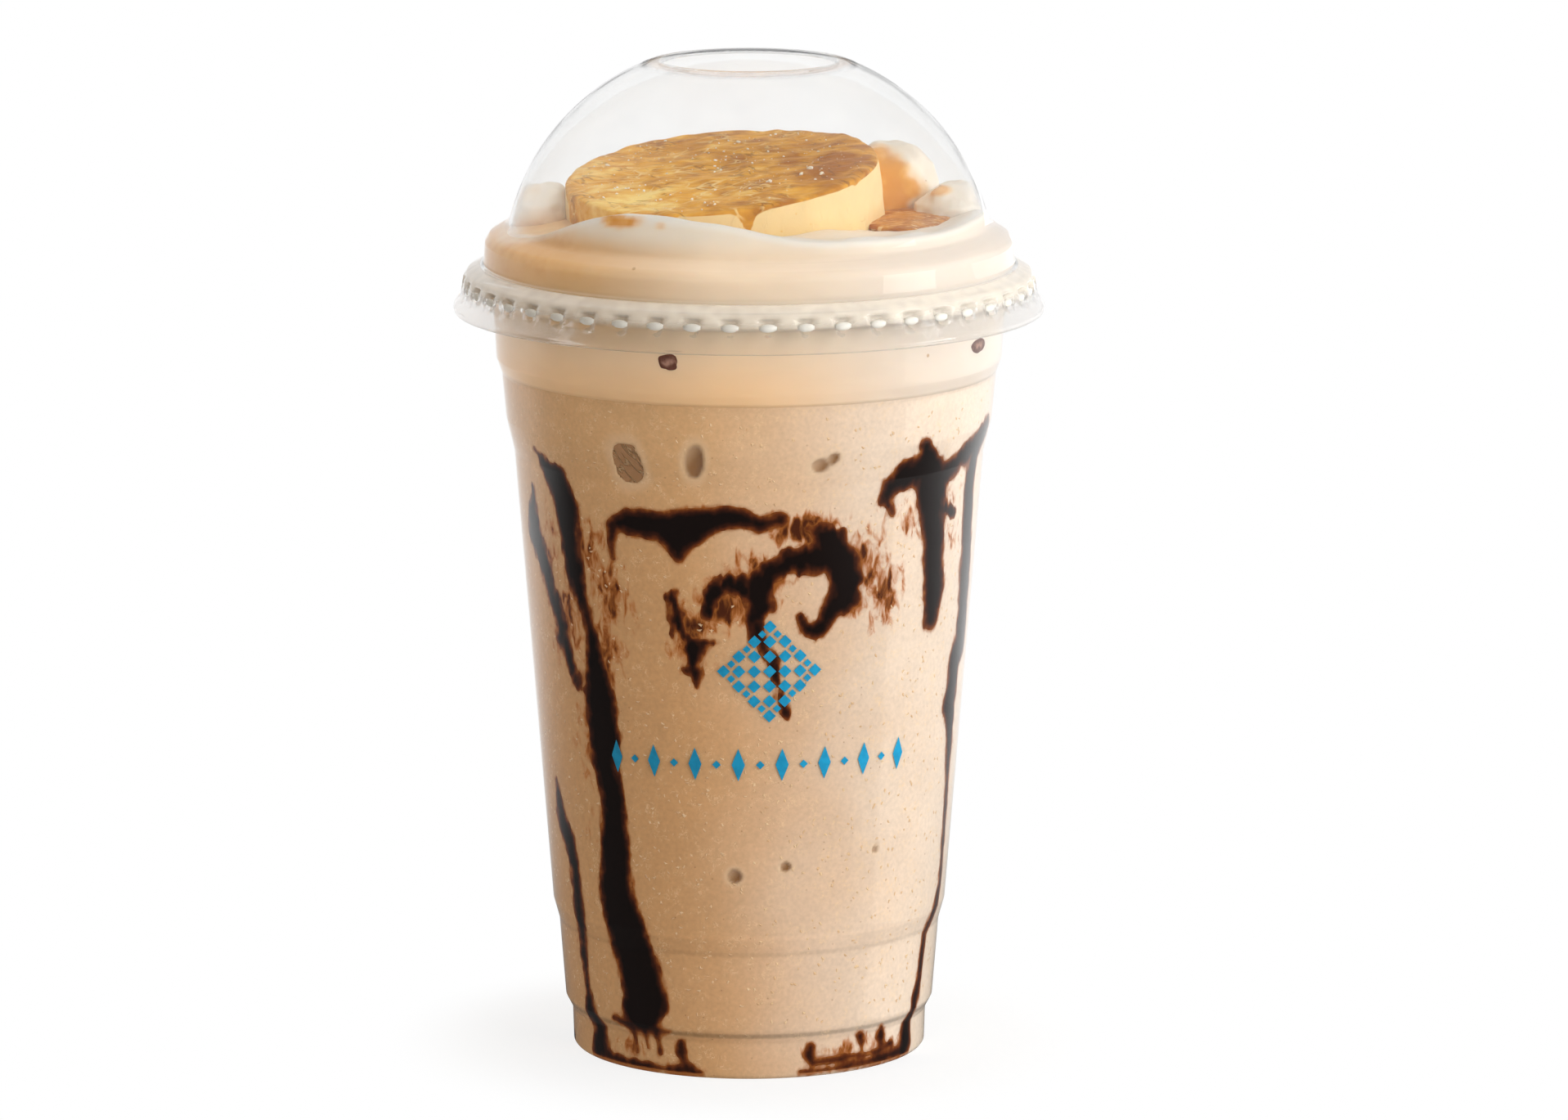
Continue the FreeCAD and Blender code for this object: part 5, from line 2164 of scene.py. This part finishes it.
@dataclass
class Studio:
    """The pale floor, the soft lamps and the camera."""

    aim: Vector = field(default_factory=lambda: Vector((0.0, 0.0, 0.087)))
    camera_distance: float = 1.6
    camera_elevation: float = 10.63
    lens: float = 209.15
    shift: tuple[float, float] = (0.0223, -0.0029)
    softboxes: tuple[Softbox, ...] = (
        Softbox("key_right", 76.0, 14.0, 1.3, 0.9, 1.0, 8.6, False, (0.91, 0.97, 1.0)),
        Softbox("front_right", 40.0, 24.0, 1.5, 0.7, 0.5, 8.0, False, (0.94, 0.98, 1.0)),
        Softbox("shine_right", 72.0, 7.0, 0.9, 0.44, 0.32, 0.9, True),
        Softbox("top", 150.0, 70.0, 1.2, 0.9, 0.9, 3.0, False),
        Softbox("edge_left", -118.0, 10.0, 1.3, 0.35, 1.0, 1.6, False),
    )
    ambient: float = 0.26
    ambient_colour: Colour = (1.0, 0.90, 0.76)
    floor_seen: float = 0.74
    floor_glow: float = 1.11
    floor_colour: Colour = (0.80, 0.80, 0.80)

    def spot(self, azimuth: float, elevation: float, distance: float) -> Vector:
        """Gives a place in the studio from its direction from the cup and its distance."""
        turn, rise = math.radians(azimuth), math.radians(elevation)
        flat = Vector((math.sin(turn) * math.cos(rise), -math.cos(turn) * math.cos(rise), math.sin(rise)))
        return self.aim + flat * distance

    def aimed(self, thing: bpy.types.Object, place: Vector) -> None:
        """Puts a lamp or the camera in its place, looking at the cup."""
        thing.location = place
        thing.rotation_euler = (self.aim - place).to_track_quat("-Z", "Y").to_euler()
        bpy.context.scene.collection.objects.link(thing)

    def add_camera(self) -> None:
        """Adds the camera."""
        data = bpy.data.cameras.new("camera")
        data.lens = self.lens
        data.sensor_width = 36.0
        data.shift_x, data.shift_y = self.shift
        data.clip_start, data.clip_end = 0.05, 30.0
        camera = bpy.data.objects.new("camera", data)
        self.aimed(camera, self.spot(0.0, self.camera_elevation, self.camera_distance))
        bpy.context.scene.camera = camera

    def add_lamps(self) -> None:
        """Adds the soft lamps."""
        for box in self.softboxes:
            data = bpy.data.lights.new(box.name, "AREA")
            data.shape = "RECTANGLE"
            data.size, data.size_y = box.width, box.height
            data.energy = box.watts
            data.color = box.colour
            lamp = bpy.data.objects.new(box.name, data)
            lamp.visible_glossy = box.shines
            lamp.visible_transmission = False
            self.aimed(lamp, self.spot(box.azimuth, box.elevation, box.distance))

    def rays(self, sheet: Sheet) -> tuple[Value, Value]:
        """Picks out what the eye sees, straight or through the clear sheet, and what only a shine shows."""
        path = sheet.node("ShaderNodeLightPath").outputs
        seen = Value(sheet, path["Is Camera Ray"]) + Value(sheet, path["Is Transmission Ray"])
        seen = seen.math("MINIMUM", seen, 1.0)
        return seen, Value(sheet, path["Is Glossy Ray"]) * (1.0 - seen)

    def add_floor(self) -> None:
        """Adds the floor, which reads white to the eye and keeps the cup's soft shadow."""
        paint = Paint("studio_floor")
        seen, glossy = self.rays(paint)
        x, y, _ = paint.parts(paint.place)
        far = (x * x + y * y).eased(0.0014, 0.0044)
        mirrored = 0.10 + y.eased(-0.02, 0.30) * 0.9 + x.eased(0.12, 0.5) * 0.5
        strength = seen * (self.floor_glow - far * (self.floor_glow - 1.0)) + glossy * mirrored
        tone = paint.mix(paint.noise(60.0, 1.0).eased(0.4, 0.6), self.floor_colour, (0.79, 0.79, 0.79))
        plain = paint.out("ShaderNodeBsdfDiffuse", {"Color": tone})
        glow = paint.out("ShaderNodeEmission", {"Color": (1.0, 1.0, 1.0, 1.0), "Strength": strength})
        share = seen * (self.floor_seen + far * (1.0 - self.floor_seen)) + glossy
        both = paint.out("ShaderNodeMixShader", {0: share, 1: plain, 2: glow})
        paint.node("ShaderNodeOutputMaterial", {"Surface": both})
        half = 3000.0
        points = np.array([(-half, -half, 0), (half, -half, 0), (half, half, 0), (-half, half, 0)], float)
        floor = bpy.data.objects.new("floor", Surface(points, [(0, 1, 2, 3)]).mesh("floor", paint.material))
        bpy.context.scene.collection.objects.link(floor)

    def add_world(self) -> None:
        """Adds the surroundings: white behind the cup, dark behind the camera, dim for plain light."""
        world = bpy.data.worlds.new("studio")
        world.use_nodes = True
        bpy.context.scene.world = world
        sheet = Sheet(world.node_tree)
        sheet.tree.nodes.clear()
        towards = sheet.node("ShaderNodeTexCoord").outputs["Generated"]
        x, y, _ = sheet.parts(towards)
        behind = y.eased(-0.35, 0.25)
        shown = 0.10 + behind * 0.80 + x.eased(0.45, 0.8) * (1.0 - behind) * 0.8
        clear, glossy = self.rays(sheet)
        rest = (1.0 - clear) * (1.0 - glossy)
        strength = clear + glossy * shown + rest * self.ambient
        colours = {0: rest, 6: (1.0, 1.0, 1.0, 1.0), 7: (*self.ambient_colour, 1.0)}
        warm = sheet.node("ShaderNodeMix", colours, data_type="RGBA").outputs[2]
        back = sheet.out("ShaderNodeBackground", {"Color": warm, "Strength": strength})
        sheet.node("ShaderNodeOutputWorld", {"Surface": back})

    def build(self) -> None:
        """Sets the studio up."""
        self.add_camera()
        self.add_lamps()
        self.add_floor()
        self.add_world()
        bpy.context.scene.view_settings.view_transform = "Standard"


def main() -> None:
    """Builds the drink from the cup inwards, then the studio."""
    logging.basicConfig(level=logging.INFO, format="%(name)s: %(message)s")
    clear = ClearSheet()
    cup = ClearCup()
    cup.build(clear)
    lid = DomedLid()
    # The beads' whitish finish paints the highlights on the lugs' heads.
    lid.build(clear, GrainFinish("frosted_bead", (0.97, 0.92, 0.84), (0.94, 0.88, 0.79), 0.4, 0.3))
    syrup = SyrupField(cup)
    SyrupFilm(syrup).build(SyrupFinish())
    BlendedDrink(cup, syrup).build(DrinkFinish())
    SunkThings(cup).build(IceFinish(), ChipFinish())
    flecks = GrainFinish("ice_fleck", (0.93, 0.70, 0.44), (0.84, 0.58, 0.34), 0.4, 0.0)
    IceFlecks(cup).build(flecks, syrup)
    cream = CreamFinish()
    head = CreamHead(cup, lid)
    head.build(cream)
    custard = CustardRound()
    custard.build(CustardFinish())
    for lump in LUMPS:
        lump.build(head, cream)
    CaramelPool(head).build(CaramelFinish())
    SugarGrains(custard).build(GrainFinish("sugar", (0.95, 0.90, 0.80), (0.88, 0.76, 0.56), 0.3, 0.5))
    PrintedPattern(cup).build(GrainFinish("teal_ink", (0.006, 0.37, 0.66), (0.004, 0.31, 0.57), 0.35, 0.4))
    Studio().build()


if __name__ == "__main__":
    main()
